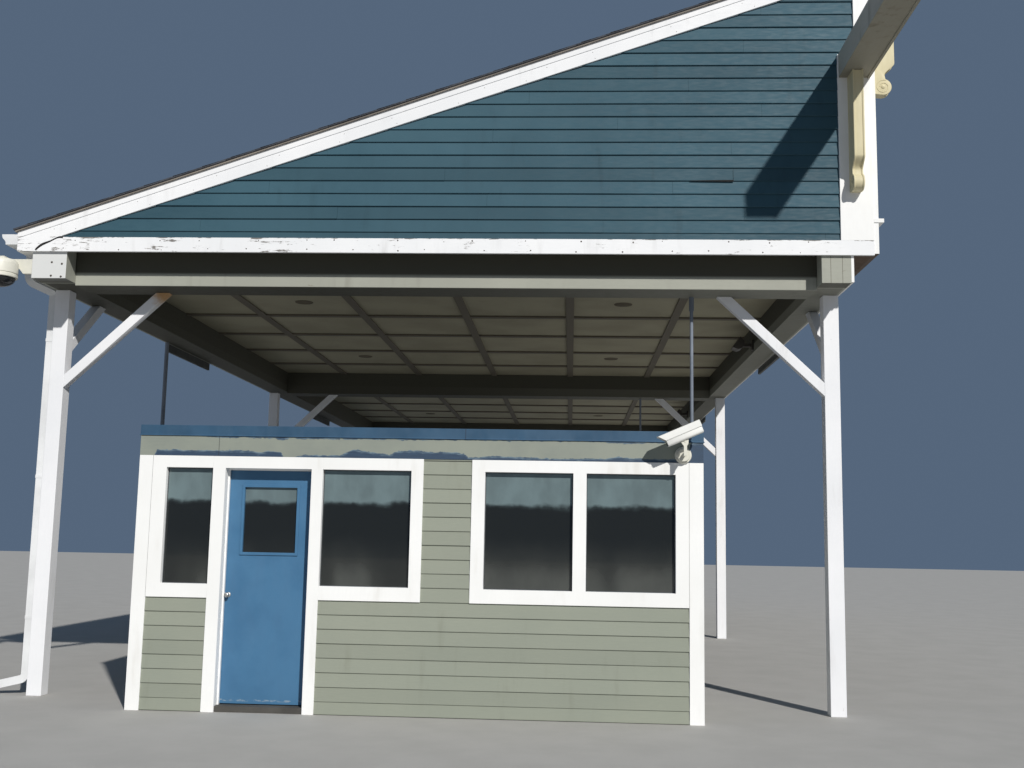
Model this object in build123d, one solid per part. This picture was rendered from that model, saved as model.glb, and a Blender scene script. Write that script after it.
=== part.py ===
from build123d import *
import math
import os

# Toll booth under its drive-through canopy.
# Millimetres, +Z up. The origin is on the ground under the middle of the booth, on the line of the
# first row of posts. +X runs along the booth to the right, +Y runs back across the lanes.

# Booth: overall box over its corner boards, walls and floor
booth_length = 4900
booth_depth = 1430
head_board_height = 103
wall_thickness = 150
floor_thickness = 50
trim_thickness = 20
corner_board_width = 122

# Booth front, left to right: sidelight, door, middle window, siding pier, double window
sidelight_stile_width = 123
sidelight_width = 412
door_left_stile_width = 111
door_opening_width = 757
door_right_stile_width = 100
middle_window_width = 772
middle_stile_width = 105
double_stile_width = 114
double_pane_width = 757
window_sill_height = 1070
window_head_height = 2067
sill_board_height = 118
jamb_thickness = 20
glass_thickness = 8
glass_setback = 55

# Windows of the sides that the front doesn't show
end_window_width = 620

# Door
door_leaf_thickness = 40
door_side_gap = 5
door_floor_gap = 8
door_stop_depth = 30
door_stop_height = 12
door_stop_gap = 5
door_lite_width = 465
door_lite_height = 565
door_lite_top_gap = 158
lite_frame_width = 24
lite_frame_thickness = 10
door_glass_thickness = 6
knob_backset = 35
knob_height = 975
knob_radius = 22
knob_length = 32
rose_radius = 23
rose_thickness = 5
neck_radius = 10
neck_length = 28
hinge_barrel_radius = 8
hinge_pin_radius = 4
hinge_pin_clearance = 0.5
hinge_height = 96
hinge_plate_thickness = 2.5
hinge_plate_width = 16
hinge_end_inset = 190
hinge_knuckle_gap = 1
hinge_sides = 16
knob_sides = 20

# Booth top
fascia_height = 175
fascia_thickness = 20
flashing_height = 92
flashing_proud = 4
roof_edge_width = 80
roof_slab_thickness = 235

# Canopy frame
row_spacing = 7712
row_count = 3
post_size = 140
left_post_face = 3626
right_post_face = 3766
beam_underside = 3780
beam_depth = 320
left_beam_width = 321
right_beam_width = 258
beam_overhang = 570
side_board_thickness = 24
side_board_rise = 10
end_cross_beam_front = 365
end_cross_beam_back = 20
middle_cross_beam_width = 380
cross_beam_drop = 20
brace_size = 90
cross_brace_run = 970
cross_brace_rise = 920
side_brace_run = 760
side_brace_rise = 600

# Canopy ceiling
ceiling_thickness = 12
batten_width = 90
batten_thickness = 20
batten_pitch_x = 1222.5
batten_line_x = 67.5
batten_pitch_y = 1270
batten_first_y = 1405
battens_per_bay = 5
ceiling_light_radius = 100
ceiling_light_thickness = 14
ceiling_light_left = -1710
ceiling_light_right = 1880
ceiling_light_near = 1935
ceiling_light_far = 5765

# Shed roof, gable walls and their trim
eave_x = -3764
eave_rise = 105
roof_slope = 0.3416
roof_deck_rise = 26
roof_eave_overhang = 18
roof_end_overhang = 58
gable_wall_thickness = 100
board_thickness = 30
frieze_bottom = 4026
frieze_height = 134
frieze_left_bottom = -3580
frieze_left_top = -3350
rake_height = 173
rake_cap_height = 58
rake_cap_proud = 7
soffit_thickness = 20
gutter_width = 148
gutter_depth = 95
gutter_floor_width = 110
gutter_lip = 16
gutter_belly = 8
gutter_wall = 4
gutter_top_drop = 23
downspout_width = 73
downspout_wall = 3
downspout_clearance = 0.3
downspout_front = -40
downspout_outlet_y = -200
downspout_upper_turn = 3840
downspout_lower_turn = 3772
downspout_bend_radius = 55
downspout_foot_height = 150
downspout_foot_reach = 290
downspout_foot_drop = 70
strap_width = 30
strap_thickness = 3
strap_low = 700
strap_high = 3300
strap_count = 3

# False front on the right side, its cornice, brackets and outriggers
front_wall_back_x = 3800
front_wall_thickness = 165
facade_board_thickness = 42
front_wall_bottom = 4040
front_wall_top = 7040
end_board_left = 3675
end_board_upper_left = 3825
base_board_height = 283
ledge_height = 35
ledge_reach = 46
facade_corner_width = 220
facade_end_step = 8
entablature_height = 1140
cornice_height = 440
cornice_cap_height = 60
cornice_reach = 330
cornice_end_overhang = 50
cornice_cap_back = 20
bracket_height = 1080
bracket_reach = 190
bracket_width = 96
bracket_count = 9
bracket_end_inset = 70
scroll_radius = 82
scroll_centre_out = 90
neck_height = 200
neck_reach = 108
shaft_bottom = 326
scroll_groove_depth = 6
scroll_sides = 24
scroll_groove_sides = 14
panel_border = 14
panel_low_gap = 50
panel_high_gap = 80
outrigger_width = 276
outrigger_height = 222
outrigger_lip_width = 26
outrigger_lip_drop = 8
outrigger_console_inset = 124
outrigger_reach = 1745
outrigger_left = 3684
outrigger_bottom = 5660

# Things hung on the canopy and the booth
lane_board_start = 2960
lane_board_length = 1600
lane_board_thickness = 30
left_lane_board_bottom = 3690
right_lane_board_bottom = 3715
floodlight_offset = 3200
floodlight_width = 210
floodlight_depth = 95
floodlight_height = 160
floodlight_arm = 170
floodlight_arm_rise = 90
floodlight_arm_size = 40
floodlight_pad_size = 120
floodlight_pad_thickness = 20
floodlight_tip = 35
dome_radius = 150
dome_cap_height = 170
dome_cap_bevel = 38
dome_glass_step = 18
dome_glass_depth = 82
dome_sides = 32
dome_reach = 254
dome_forward = 70
dome_rim_drop = 15
dome_arm_thickness = 45
dome_arm_depth = 22
dome_plate_half = 60
dome_arm_foot = 80
dome_arm_foot_rise = 41
conduit_radius = 16
conduit_inset = 25
conduit_coupling_radius = 23
conduit_coupling_length = 130
lane_riser_x = -3600
lane_riser_y = 2860
lane_riser_radius = 23.5
camera_length = 320
camera_width = 105
camera_tilt = 23.6
camera_inset = 188
camera_rise = 56
camera_stand_off = 190
camera_box_radius = 72
camera_box_depth = 55
camera_box_right = 15
camera_box_below = 167
camera_stem_radius = 17
camera_body_height = 108
camera_body_round = 16
camera_shield_longer = 58
camera_shield_wider = 16
camera_shield_thickness = 8

# Places worked out from the sizes above
wall_height = window_head_height + head_board_height
booth_left = -booth_length / 2
booth_right = booth_length / 2
booth_front = -booth_depth / 2
booth_back = booth_depth / 2
wall_left = booth_left + trim_thickness
wall_right = booth_right - trim_thickness
wall_front = booth_front + trim_thickness
wall_back = booth_back - trim_thickness
inner_left = wall_left + wall_thickness
inner_right = wall_right - wall_thickness
inner_front = wall_front + wall_thickness
inner_back = wall_back - wall_thickness

sidelight_left = booth_left + corner_board_width + sidelight_stile_width
sidelight_right = sidelight_left + sidelight_width
door_left = sidelight_right + door_left_stile_width
door_right = door_left + door_opening_width
middle_left = door_right + door_right_stile_width
middle_right = middle_left + middle_window_width
left_group_right = middle_right + middle_stile_width
double_group_right = booth_right - corner_board_width
second_pane_right = double_group_right - double_stile_width
second_pane_left = second_pane_right - double_pane_width
first_pane_right = second_pane_left - double_stile_width
first_pane_left = first_pane_right - double_pane_width
double_group_left = first_pane_left - double_stile_width
sill_bottom = window_sill_height - sill_board_height

row_lines = [row_spacing * row for row in range(row_count)]
canopy_length_y = row_lines[-1]
canopy_middle_y = canopy_length_y / 2
beam_top = beam_underside + beam_depth
left_beam_inner = -left_post_face + left_beam_width
right_beam_inner = right_post_face - right_beam_width
eave_height = beam_top + eave_rise
gable_face = -beam_overhang
trim_face = gable_face - board_thickness
front_wall_face = front_wall_back_x + front_wall_thickness
facade_board_face = front_wall_face + facade_board_thickness
cornice_bottom = front_wall_top - cornice_height
conduit_x = booth_right - conduit_inset
ceiling_top = beam_top + ceiling_thickness


def block(x0, x1, y0, y1, z0, z1):
    """A square-edged board or block between two corners."""
    size = (x1 - x0, y1 - y0, z1 - z0)
    return Pos((x0 + x1) / 2, (y0 + y1) / 2, (z0 + z1) / 2) * Box(*size)


def plate_xz(points, y0, y1):
    """A flat board whose outline is drawn in X and Z and that is as thick as y0 to y1."""
    outline = Plane.XZ.offset(-y0) * make_face(Polyline(*points, close=True))
    return extrude(outline, amount=y1 - y0, dir=(0, 1, 0))


def plate_yz(points, x0, x1):
    """A flat board whose outline is drawn in Y and Z and that is as thick as x0 to x1."""
    outline = Plane.YZ.offset(x0) * make_face(Polyline(*points, close=True))
    return extrude(outline, amount=x1 - x0, dir=(1, 0, 0))


def rod(start, end, radius):
    """A round bar between two points."""
    axis = Vector(*end) - Vector(*start)
    return Plane(origin=start, z_dir=axis) * Cylinder(radius, axis.length, align=(Align.CENTER,) * 2 + (Align.MIN,))


def many_sided(sections, sides):
    """A turned shape with flat sides, through pairs of radius and height, lowest first, on the Z axis."""
    rings = [
        [Vector(radius, 0, height).rotate(Axis.Z, 360 * side / sides) for side in range(sides + 1)]
        for radius, height in sections
    ]
    outlines = [rings[0][:0:-1], rings[-1][1:]]
    for low, high in zip(rings, rings[1:]):
        outlines += [(low[side], low[side + 1], high[side + 1], high[side]) for side in range(sides)]
    return Solid(Shell([make_face(Polyline(*outline, close=True)).face() for outline in outlines]))


def far_copy(shape):
    """The same piece at the far end of the canopy."""
    return shape.mirror(Plane.XZ.offset(-canopy_middle_y))


def both_ends(shape):
    """A piece at the near end and its mirror image at the far end."""
    return [shape, far_copy(shape)]


def roof_line(x):
    """Height of the roof deck's underside at x."""
    return eave_height + roof_slope * (x - eave_x)


nodes = {}


def add(name, *solids):
    """Keeps the solids of one named piece."""
    flat = []
    for item in solids:
        if isinstance(item, (list, tuple)):
            flat.extend(item)
        else:
            flat.append(item)
    nodes[name] = flat


# Windows: each is left, right and the wall that it is in
front_windows = [
    (sidelight_left, sidelight_right),
    (middle_left, middle_right),
    (first_pane_left, first_pane_right),
    (second_pane_left, second_pane_right),
]
# The back repeats the middle window and the double window
back_windows = front_windows[1:]


def window_hole(left, right, y0, y1):
    """What is cut from a long wall for a window and its jamb."""
    return block(
        left - jamb_thickness,
        right + jamb_thickness,
        y0,
        y1,
        window_sill_height - jamb_thickness,
        window_head_height + jamb_thickness,
    )


def window_jamb(left, right, y0, y1):
    """The lining of a window opening, as deep as its wall."""
    inside = block(left, right, y0, y1, window_sill_height, window_head_height)
    return window_hole(left, right, y0, y1) - inside


def end_window_hole(x0, x1):
    """What is cut from an end wall for its window and jamb."""
    half = end_window_width / 2 + jamb_thickness
    return block(
        x0, x1, -half, half, window_sill_height - jamb_thickness, window_head_height + jamb_thickness
    )


def end_window_jamb(x0, x1):
    """The lining of an end window."""
    half = end_window_width / 2
    inside = block(x0, x1, -half, half, window_sill_height, window_head_height)
    return end_window_hole(x0, x1) - inside


# Booth floor, with the step that shows in the doorway
floor = block(inner_left, inner_right, inner_front, inner_back, 0, floor_thickness)
door_step = block(
    door_left - jamb_thickness,
    door_right + jamb_thickness,
    wall_front,
    inner_front,
    0,
    floor_thickness,
)
add("booth_floor", floor + door_step)

# Front wall, split beside and over the doorway
door_wall_left = door_left - jamb_thickness
door_wall_right = door_right + jamb_thickness
left_part = block(wall_left, door_wall_left, wall_front, inner_front, 0, wall_height)
left_part -= window_hole(*front_windows[0], wall_front, inner_front)
add("front_wall_left", left_part)
right_part = block(door_wall_right, wall_right, wall_front, inner_front, 0, wall_height)
for window in front_windows[1:]:
    right_part -= window_hole(*window, wall_front, inner_front)
add("front_wall_right", right_part)
add(
    "front_wall_over_door",
    block(
        door_wall_left,
        door_wall_right,
        wall_front,
        inner_front,
        window_head_height + jamb_thickness,
        wall_height,
    ),
)

# Back and end walls
rear_part = block(wall_left, wall_right, inner_back, wall_back, 0, wall_height)
for window in back_windows:
    rear_part -= window_hole(*window, inner_back, wall_back)
add("back_wall", rear_part)
add(
    "end_walls",
    [
        block(x0, x1, inner_front, inner_back, 0, wall_height) - end_window_hole(x0, x1)
        for x0, x1 in ((wall_left, inner_left), (inner_right, wall_right))
    ],
)


def corner_board(side_x, side_y):
    """An angled board that wraps one corner of the booth."""
    x0 = side_x * booth_length / 2
    y0 = side_y * booth_depth / 2
    x1 = x0 - side_x * corner_board_width
    y1 = y0 - side_y * corner_board_width
    xs = sorted((x0, x1))
    ys = sorted((y0, y1))
    core_x = sorted((x0 - side_x * trim_thickness, x1))
    core_y = sorted((y0 - side_y * trim_thickness, y1))
    return block(*xs, *ys, 0, wall_height) - block(*core_x, *core_y, 0, wall_height)


add("booth_corner_boards", [corner_board(sx, sy) for sx in (-1, 1) for sy in (-1, 1)])

# Flat white boards round the openings
sidelight_casing = block(
    booth_left + corner_board_width, sidelight_right, booth_front, wall_front, sill_bottom, wall_height
)
sidelight_casing -= block(
    sidelight_left, sidelight_right, booth_front, wall_front, window_sill_height, window_head_height
)
door_casing = block(sidelight_right, middle_left, booth_front, wall_front, 0, wall_height)
door_casing -= block(door_left, door_right, booth_front, wall_front, 0, window_head_height)
add("door_casing", door_casing)

middle_casing = block(middle_left, left_group_right, booth_front, wall_front, sill_bottom, wall_height)
middle_casing -= block(
    middle_left, middle_right, booth_front, wall_front, window_sill_height, window_head_height
)


def double_casing(y0, y1):
    """The boards round the double window, with the post between its panes."""
    boards = block(double_group_left, double_group_right, y0, y1, sill_bottom, wall_height)
    for left, right in front_windows[2:]:
        boards -= block(left, right, y0, y1, window_sill_height, window_head_height)
    return boards


rear_single = block(
    middle_left - middle_stile_width, left_group_right, wall_back, booth_back, sill_bottom, wall_height
)
rear_single -= block(
    middle_left, middle_right, wall_back, booth_back, window_sill_height, window_head_height
)


def end_casing(x0, x1):
    """The boards round an end window."""
    half = end_window_width / 2
    boards = block(x0, x1, -half - middle_stile_width, half + middle_stile_width, sill_bottom, wall_height)
    return boards - block(x0, x1, -half, half, window_sill_height, window_head_height)


add(
    "window_casings",
    sidelight_casing,
    middle_casing,
    double_casing(booth_front, wall_front),
    rear_single,
    double_casing(wall_back, booth_back),
    end_casing(booth_left, wall_left),
    end_casing(wall_right, booth_right),
)

# Jambs and glass
add(
    "window_jambs",
    [window_jamb(*window, wall_front, inner_front) for window in front_windows],
    [window_jamb(*window, inner_back, wall_back) for window in back_windows],
    end_window_jamb(wall_left, inner_left),
    end_window_jamb(inner_right, wall_right),
)

front_glass_y = booth_front + glass_setback
back_glass_y = booth_back - glass_setback
left_glass_x = booth_left + glass_setback
right_glass_x = booth_right - glass_setback
end_half = end_window_width / 2


def pane(x0, x1, y0, y1):
    """One sheet of glass as tall as the windows."""
    return block(x0, x1, y0, y1, window_sill_height, window_head_height)


add(
    "window_glass",
    [pane(left, right, front_glass_y, front_glass_y + glass_thickness) for left, right in front_windows],
    [pane(left, right, back_glass_y - glass_thickness, back_glass_y) for left, right in back_windows],
    pane(left_glass_x, left_glass_x + glass_thickness, -end_half, end_half),
    pane(right_glass_x - glass_thickness, right_glass_x, -end_half, end_half),
)

# Door frame: two jambs and a head that line the doorway, with the stop that the leaf closes on
leaf_front = inner_front - door_leaf_thickness
stop_back = leaf_front - door_stop_gap
stop_front = stop_back - door_stop_depth
door_frame = block(
    door_wall_left, door_wall_right, wall_front, inner_front,
    floor_thickness, window_head_height + jamb_thickness,
)
door_frame -= block(
    door_left, door_right, wall_front, inner_front, floor_thickness, window_head_height
)
door_stop = block(door_left, door_right, stop_front, stop_back, floor_thickness, window_head_height)
door_stop -= block(
    door_left + door_stop_height, door_right - door_stop_height, stop_front, stop_back,
    floor_thickness, window_head_height - door_stop_height,
)
add("door_frame", door_frame + door_stop)

# Door leaf, with the hole for its glass
leaf_left = door_left + door_side_gap
leaf_right = door_right - door_side_gap
leaf_bottom = floor_thickness + door_floor_gap
leaf_top = window_head_height - door_side_gap
lite_middle = (leaf_left + leaf_right) / 2
lite_left = lite_middle - door_lite_width / 2
lite_right = lite_middle + door_lite_width / 2
lite_top = window_head_height - door_lite_top_gap
lite_bottom = lite_top - door_lite_height
leaf = block(leaf_left, leaf_right, leaf_front, inner_front, leaf_bottom, leaf_top)
leaf -= block(lite_left, lite_right, leaf_front, inner_front, lite_bottom, lite_top)
leaf_middle_y = (leaf_front + inner_front) / 2
add(
    "door_glass",
    block(
        lite_left, lite_right,
        leaf_middle_y - door_glass_thickness / 2, leaf_middle_y + door_glass_thickness / 2,
        lite_bottom, lite_top,
    ),
)


def lite_frame(y0, y1):
    """The flat moulding round the door's glass, on one face of the leaf."""
    outer = block(
        lite_left - lite_frame_width, lite_right + lite_frame_width, y0, y1,
        lite_bottom - lite_frame_width, lite_top + lite_frame_width,
    )
    inner = block(lite_left, lite_right, y0, y1, lite_bottom, lite_top)
    return outer - inner


leaf += lite_frame(leaf_front - lite_frame_thickness, leaf_front)
leaf += lite_frame(inner_front, inner_front + lite_frame_thickness)
add("door_leaf", leaf)

# Knobs: a round rose, a neck and a turned knob on each face
knob_x = leaf_left + knob_backset


def door_knob(face_y, outward):
    """One knob, turned about its own axis, standing off a face of the leaf."""
    turned = many_sided(
        [
            (rose_radius, 0),
            (rose_radius, rose_thickness),
            (neck_radius, 2 * rose_thickness),
            (neck_radius, neck_length),
            (knob_radius * 0.8, neck_length + knob_length * 0.12),
            (knob_radius, neck_length + knob_length * 0.45),
            (knob_radius * 0.8, neck_length + knob_length * 0.86),
            (neck_radius, neck_length + knob_length),
        ],
        knob_sides,
    )
    return Pos(knob_x, face_y, knob_height) * Rot(X=90 if outward else -90) * turned


add("door_knobs", door_knob(leaf_front, True), door_knob(inner_front, False))

# Hinges on the right edge, inside the booth: the leaf turns about their common pin line
hinge_x = door_right - door_side_gap / 2
hinge_y = inner_front + hinge_barrel_radius
hinge_heights = (
    leaf_bottom + hinge_end_inset,
    (leaf_bottom + leaf_top) / 2,
    leaf_top - hinge_end_inset,
)
knuckle_height = (hinge_height - 2 * hinge_knuckle_gap) / 3


def hinge_barrel(z0, z1, radius):
    """An upright piece on the pin line, near enough round."""
    return Pos(hinge_x, hinge_y, z0) * extrude(RegularPolygon(radius, hinge_sides), amount=z1 - z0)


def hinge_plate(x0, x1, z0, z1):
    """A thin leaf of a hinge, flat on the inner face."""
    return block(x0, x1, inner_front, inner_front + hinge_plate_thickness, z0, z1)


frame_hinges = []
leaf_hinges = []
for height in hinge_heights:
    low = height - hinge_height / 2
    high = height + hinge_height / 2
    low_end = low + knuckle_height
    high_start = high - knuckle_height
    fixed = hinge_barrel(low, low_end, hinge_barrel_radius)
    fixed += hinge_barrel(high_start, high, hinge_barrel_radius)
    fixed += hinge_barrel(low, high, hinge_pin_radius)
    plate_start = hinge_x + hinge_pin_radius
    plate_end = plate_start + hinge_plate_width
    fixed += hinge_plate(plate_start, plate_end, low, low_end)
    fixed += hinge_plate(plate_start, plate_end, high_start, high)
    frame_hinges.append(fixed)
    swinging_low = low_end + hinge_knuckle_gap
    swinging_high = high_start - hinge_knuckle_gap
    swinging = hinge_barrel(swinging_low, swinging_high, hinge_barrel_radius)
    swinging += hinge_plate(
        hinge_x - hinge_pin_radius - hinge_plate_width, hinge_x - hinge_pin_radius,
        swinging_low, swinging_high,
    )
    swinging -= hinge_barrel(low, high, hinge_pin_radius + hinge_pin_clearance)
    leaf_hinges.append(swinging)
add("frame_hinge_halves", frame_hinges)
add("leaf_hinge_halves", leaf_hinges)

# Booth top: roof slab, fascia boards and the metal edge
roof_top = wall_height + roof_slab_thickness
add("booth_roof", block(wall_left, wall_right, wall_front, wall_back, wall_height, roof_top))


def band(outset, thickness, z0, z1):
    """A band of boards all round the booth, its face standing outset beyond the corner boards."""
    outer = block(
        booth_left - outset, booth_right + outset, booth_front - outset, booth_back + outset, z0, z1
    )
    inset = outset - thickness
    inner = block(
        booth_left - inset, booth_right + inset, booth_front - inset, booth_back + inset, z0, z1
    )
    return outer - inner


fascia_outset = fascia_thickness - trim_thickness
fascia_top = wall_height + fascia_height
add("booth_fascia", band(fascia_outset, fascia_thickness, wall_height, fascia_top))
flashing_top = fascia_top + flashing_height
flashing_outset = fascia_outset + flashing_proud
flashing_band = band(flashing_outset, roof_edge_width, fascia_top, flashing_top)
add(
    "roof_edge_flashing",
    flashing_band - block(wall_left, wall_right, wall_front, wall_back, fascia_top, roof_top),
)

# Posts: three rows of two
half_post = post_size / 2
posts = []
for line in row_lines:
    for face in (-left_post_face, right_post_face - post_size):
        posts.append(block(face, face + post_size, line - half_post, line + half_post, 0, beam_underside))
add("posts", posts)

# Side beams across the lanes, and the thin board on the outer face of the right one
beam_back_end = canopy_length_y + beam_overhang
add(
    "side_beams",
    block(-left_post_face, left_beam_inner, gable_face, beam_back_end, beam_underside, beam_top),
    block(right_beam_inner, right_post_face, gable_face, beam_back_end, beam_underside, beam_top),
)
add(
    "right_beam_side_board",
    block(
        right_post_face, right_post_face + side_board_thickness, gable_face, beam_back_end,
        beam_underside + side_board_rise, beam_top,
    ),
)

# Cross beams over each row, between the side beams
cross_bottom = beam_underside - cross_beam_drop


def cross_beam(y0, y1):
    """A cross beam between the two side beams."""
    return block(left_beam_inner, right_beam_inner, y0, y1, cross_bottom, beam_top)


near_cross = cross_beam(-end_cross_beam_front, end_cross_beam_back)
middle_half = middle_cross_beam_width / 2
middle_cross = cross_beam(row_lines[1] - middle_half, row_lines[1] + middle_half)
add("cross_beams", near_cross, middle_cross, far_copy(near_cross))

# Knee braces: sloping bars from the posts up to the beams


def cross_brace(face_x, side, y0):
    """A brace in the plane of a row, from a post's inner face up to the cross beam."""
    slope_length = math.hypot(cross_brace_run, cross_brace_rise)
    across = brace_size * slope_length / cross_brace_rise
    along = brace_size * slope_length / cross_brace_run
    points = [
        (face_x, cross_bottom - cross_brace_rise),
        (face_x, cross_bottom - cross_brace_rise + along),
        (face_x + side * (cross_brace_run - across), cross_bottom),
        (face_x + side * cross_brace_run, cross_bottom),
    ]
    return plate_xz(points, y0, y0 + brace_size)


def side_brace(post_x, face_y, side):
    """A brace in the plane of a side, from a post's face up to the side beam."""
    slope_length = math.hypot(side_brace_run, side_brace_rise)
    across = brace_size * slope_length / side_brace_rise
    along = brace_size * slope_length / side_brace_run
    points = [
        (face_y, beam_underside - side_brace_rise),
        (face_y, beam_underside - side_brace_rise + along),
        (face_y + side * (side_brace_run - across), beam_underside),
        (face_y + side * side_brace_run, beam_underside),
    ]
    return plate_yz(points, post_x - brace_size / 2, post_x + brace_size / 2)


left_inner_face = -left_post_face + post_size
right_inner_face = right_post_face - post_size
cross_braces = []
for index, line in enumerate(row_lines):
    if index == 0:
        y0 = line + end_cross_beam_back - brace_size
    elif index == row_count - 1:
        y0 = line - end_cross_beam_back
    else:
        y0 = line - brace_size / 2
    cross_braces.append(cross_brace(left_inner_face, 1, y0))
    cross_braces.append(cross_brace(right_inner_face, -1, y0))

side_braces = []
for middle_x in (-left_post_face + half_post, right_post_face - half_post):
    side_braces.append(side_brace(middle_x, row_lines[0] + half_post, 1))
    side_braces.append(side_brace(middle_x, row_lines[-1] - half_post, -1))
add("knee_braces", cross_braces, side_braces)

# Ceiling: one sheet on top of the beams, with battens below it in each bay
gable_inner = gable_face + gable_wall_thickness
add(
    "ceiling_panels",
    block(
        -left_post_face, front_wall_back_x,
        gable_inner, canopy_length_y - gable_inner,
        beam_top, ceiling_top,
    ),
)


def batten_grid(y0, y1, line):
    """The battens of one bay, crossing in one layer."""
    z0 = beam_top - batten_thickness
    grid = None
    x = batten_line_x - batten_pitch_x * math.floor(
        (batten_line_x - batten_width / 2 - left_beam_inner) / batten_pitch_x
    )
    while x + batten_width / 2 < right_beam_inner:
        strip = block(x - batten_width / 2, x + batten_width / 2, y0, y1, z0, beam_top)
        grid = strip if grid is None else grid + strip
        x += batten_pitch_x
    for index in range(battens_per_bay):
        y = line + batten_first_y + index * batten_pitch_y
        grid += block(
            left_beam_inner, right_beam_inner, y - batten_width / 2, y + batten_width / 2, z0, beam_top
        )
    return grid


first_bay_end = row_lines[1] - middle_half
second_bay_start = row_lines[1] + middle_half
add(
    "ceiling_battens",
    batten_grid(end_cross_beam_back, first_bay_end, row_lines[0]),
    batten_grid(second_bay_start, canopy_length_y - end_cross_beam_back, row_lines[1]),
)
ceiling_lights = []
for line in row_lines[:-1]:
    for offset in (ceiling_light_near, ceiling_light_far):
        for light_x in (ceiling_light_left, ceiling_light_right):
            place = Pos(light_x, line + offset, beam_top - ceiling_light_thickness / 2)
            ceiling_lights.append(place * Cylinder(ceiling_light_radius, ceiling_light_thickness))
add("ceiling_lights", ceiling_lights)

# Gable walls over the end beams
fascia_inner = eave_x + board_thickness
gable_points = [
    (fascia_inner, beam_top),
    (front_wall_back_x, beam_top),
    (front_wall_back_x, roof_line(front_wall_back_x)),
    (fascia_inner, roof_line(fascia_inner)),
]
gable_wall = plate_xz(gable_points, gable_face, gable_inner)
add("gable_walls", both_ends(gable_wall))

frieze_top = frieze_bottom + frieze_height
frieze = plate_xz(
    [
        (frieze_left_bottom, frieze_bottom),
        (front_wall_face, frieze_bottom),
        (front_wall_face, frieze_top),
        (frieze_left_top, frieze_top),
    ],
    trim_face,
    gable_face,
)

# Rake boards: a broad board under the roof's edge with a thicker cap along its top
rake_points = [
    (eave_x, frieze_bottom),
    (frieze_left_bottom, frieze_bottom),
    (frieze_left_top, frieze_top),
    (frieze_left_top, roof_line(frieze_left_top) - rake_height),
    (end_board_upper_left, roof_line(end_board_upper_left) - rake_height),
    (end_board_upper_left, roof_line(end_board_upper_left)),
    (eave_x, roof_line(eave_x)),
]
rake = plate_xz(rake_points, trim_face, gable_face)
rake_cap = plate_xz(
    [
        (eave_x, roof_line(eave_x) - rake_cap_height),
        (end_board_upper_left, roof_line(end_board_upper_left) - rake_cap_height),
        (end_board_upper_left, roof_line(end_board_upper_left)),
        (eave_x, roof_line(eave_x)),
    ],
    trim_face - rake_cap_proud,
    trim_face,
)
add("gable_trim", both_ends(frieze + rake + rake_cap))

# Roof deck with its shingles
deck_left = eave_x - roof_eave_overhang
roof_deck = plate_xz(
    [
        (deck_left, roof_line(deck_left)),
        (front_wall_back_x, roof_line(front_wall_back_x)),
        (front_wall_back_x, roof_line(front_wall_back_x) + roof_deck_rise),
        (deck_left, roof_line(deck_left) + roof_deck_rise),
    ],
    gable_face - roof_end_overhang,
    beam_back_end + roof_end_overhang,
)
add("roof_deck", roof_deck)

# Eave: fascia board and the narrow soffit back to the side beam
eave_fascia = plate_xz(
    [
        (eave_x, frieze_bottom),
        (-left_post_face, frieze_bottom),
        (-left_post_face, frieze_bottom + soffit_thickness),
        (fascia_inner, frieze_bottom + soffit_thickness),
        (fascia_inner, roof_line(fascia_inner)),
        (eave_x, roof_line(eave_x)),
    ],
    gable_face,
    beam_back_end,
)
add("eave_fascia", eave_fascia)

# Gutter: an open trough with a curled front, closed at its ends
gutter_top = eave_height - gutter_top_drop
gutter_low = gutter_top - gutter_depth
gutter_front_x = eave_x - gutter_width
gutter_floor_x = eave_x - gutter_floor_width
gutter_back_x = eave_x - gutter_wall
gutter_floor_top = gutter_low + gutter_wall
gutter_start = trim_face
gutter_end = canopy_length_y - trim_face
trough_start = gutter_start + gutter_wall
trough_end = gutter_end - gutter_wall
curl_low = gutter_top - gutter_lip
curl_knee = (curl_low + gutter_low) / 2
curl_points = [
    (gutter_front_x, gutter_top),
    (gutter_front_x, curl_low),
    (gutter_front_x + gutter_belly, (curl_low + curl_knee) / 2),
    ((gutter_front_x + gutter_floor_x) / 2 + gutter_belly, curl_knee),
    (gutter_floor_x, (curl_knee + gutter_low) / 2),
    (gutter_floor_x, gutter_low),
]
curl_inner = [(x + gutter_wall, z) for x, z in reversed(curl_points)]
gutter_back = block(gutter_back_x, eave_x, trough_start, trough_end, gutter_low, gutter_top)
gutter_floor = block(
    gutter_floor_x + gutter_wall, gutter_back_x, trough_start, trough_end, gutter_low, gutter_floor_top
)
gutter_curl = plate_xz(curl_points + curl_inner, trough_start, trough_end)
gutter_end_cap = plate_xz(
    curl_points + [(eave_x, gutter_low), (eave_x, gutter_top)], gutter_start, trough_start
)

# Downspout: from the gutter's floor, slanting over to the first left post, down it and out at the foot
spout_half = downspout_width / 2
spout_x = -left_post_face - downspout_clearance - spout_half
spout_y = downspout_front + spout_half
outlet_x = (gutter_floor_x + eave_x) / 2
route = [
    (outlet_x, downspout_outlet_y, gutter_low),
    (outlet_x, downspout_outlet_y, downspout_upper_turn),
    (spout_x, spout_y, downspout_lower_turn),
    (spout_x, spout_y, downspout_foot_height),
    (spout_x - downspout_foot_reach, spout_y, downspout_foot_height - downspout_foot_drop),
]


def spout_tube(half):
    """The square tube along the downspout's route, half as wide as twice half."""
    start = Plane(origin=route[0], x_dir=(1, 0, 0), z_dir=(0, 0, -1))
    path = FilletPolyline(*route, radius=downspout_bend_radius)
    return sweep(start * Rectangle(2 * half, 2 * half), path=path, transition=Transition.RIGHT)


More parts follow.
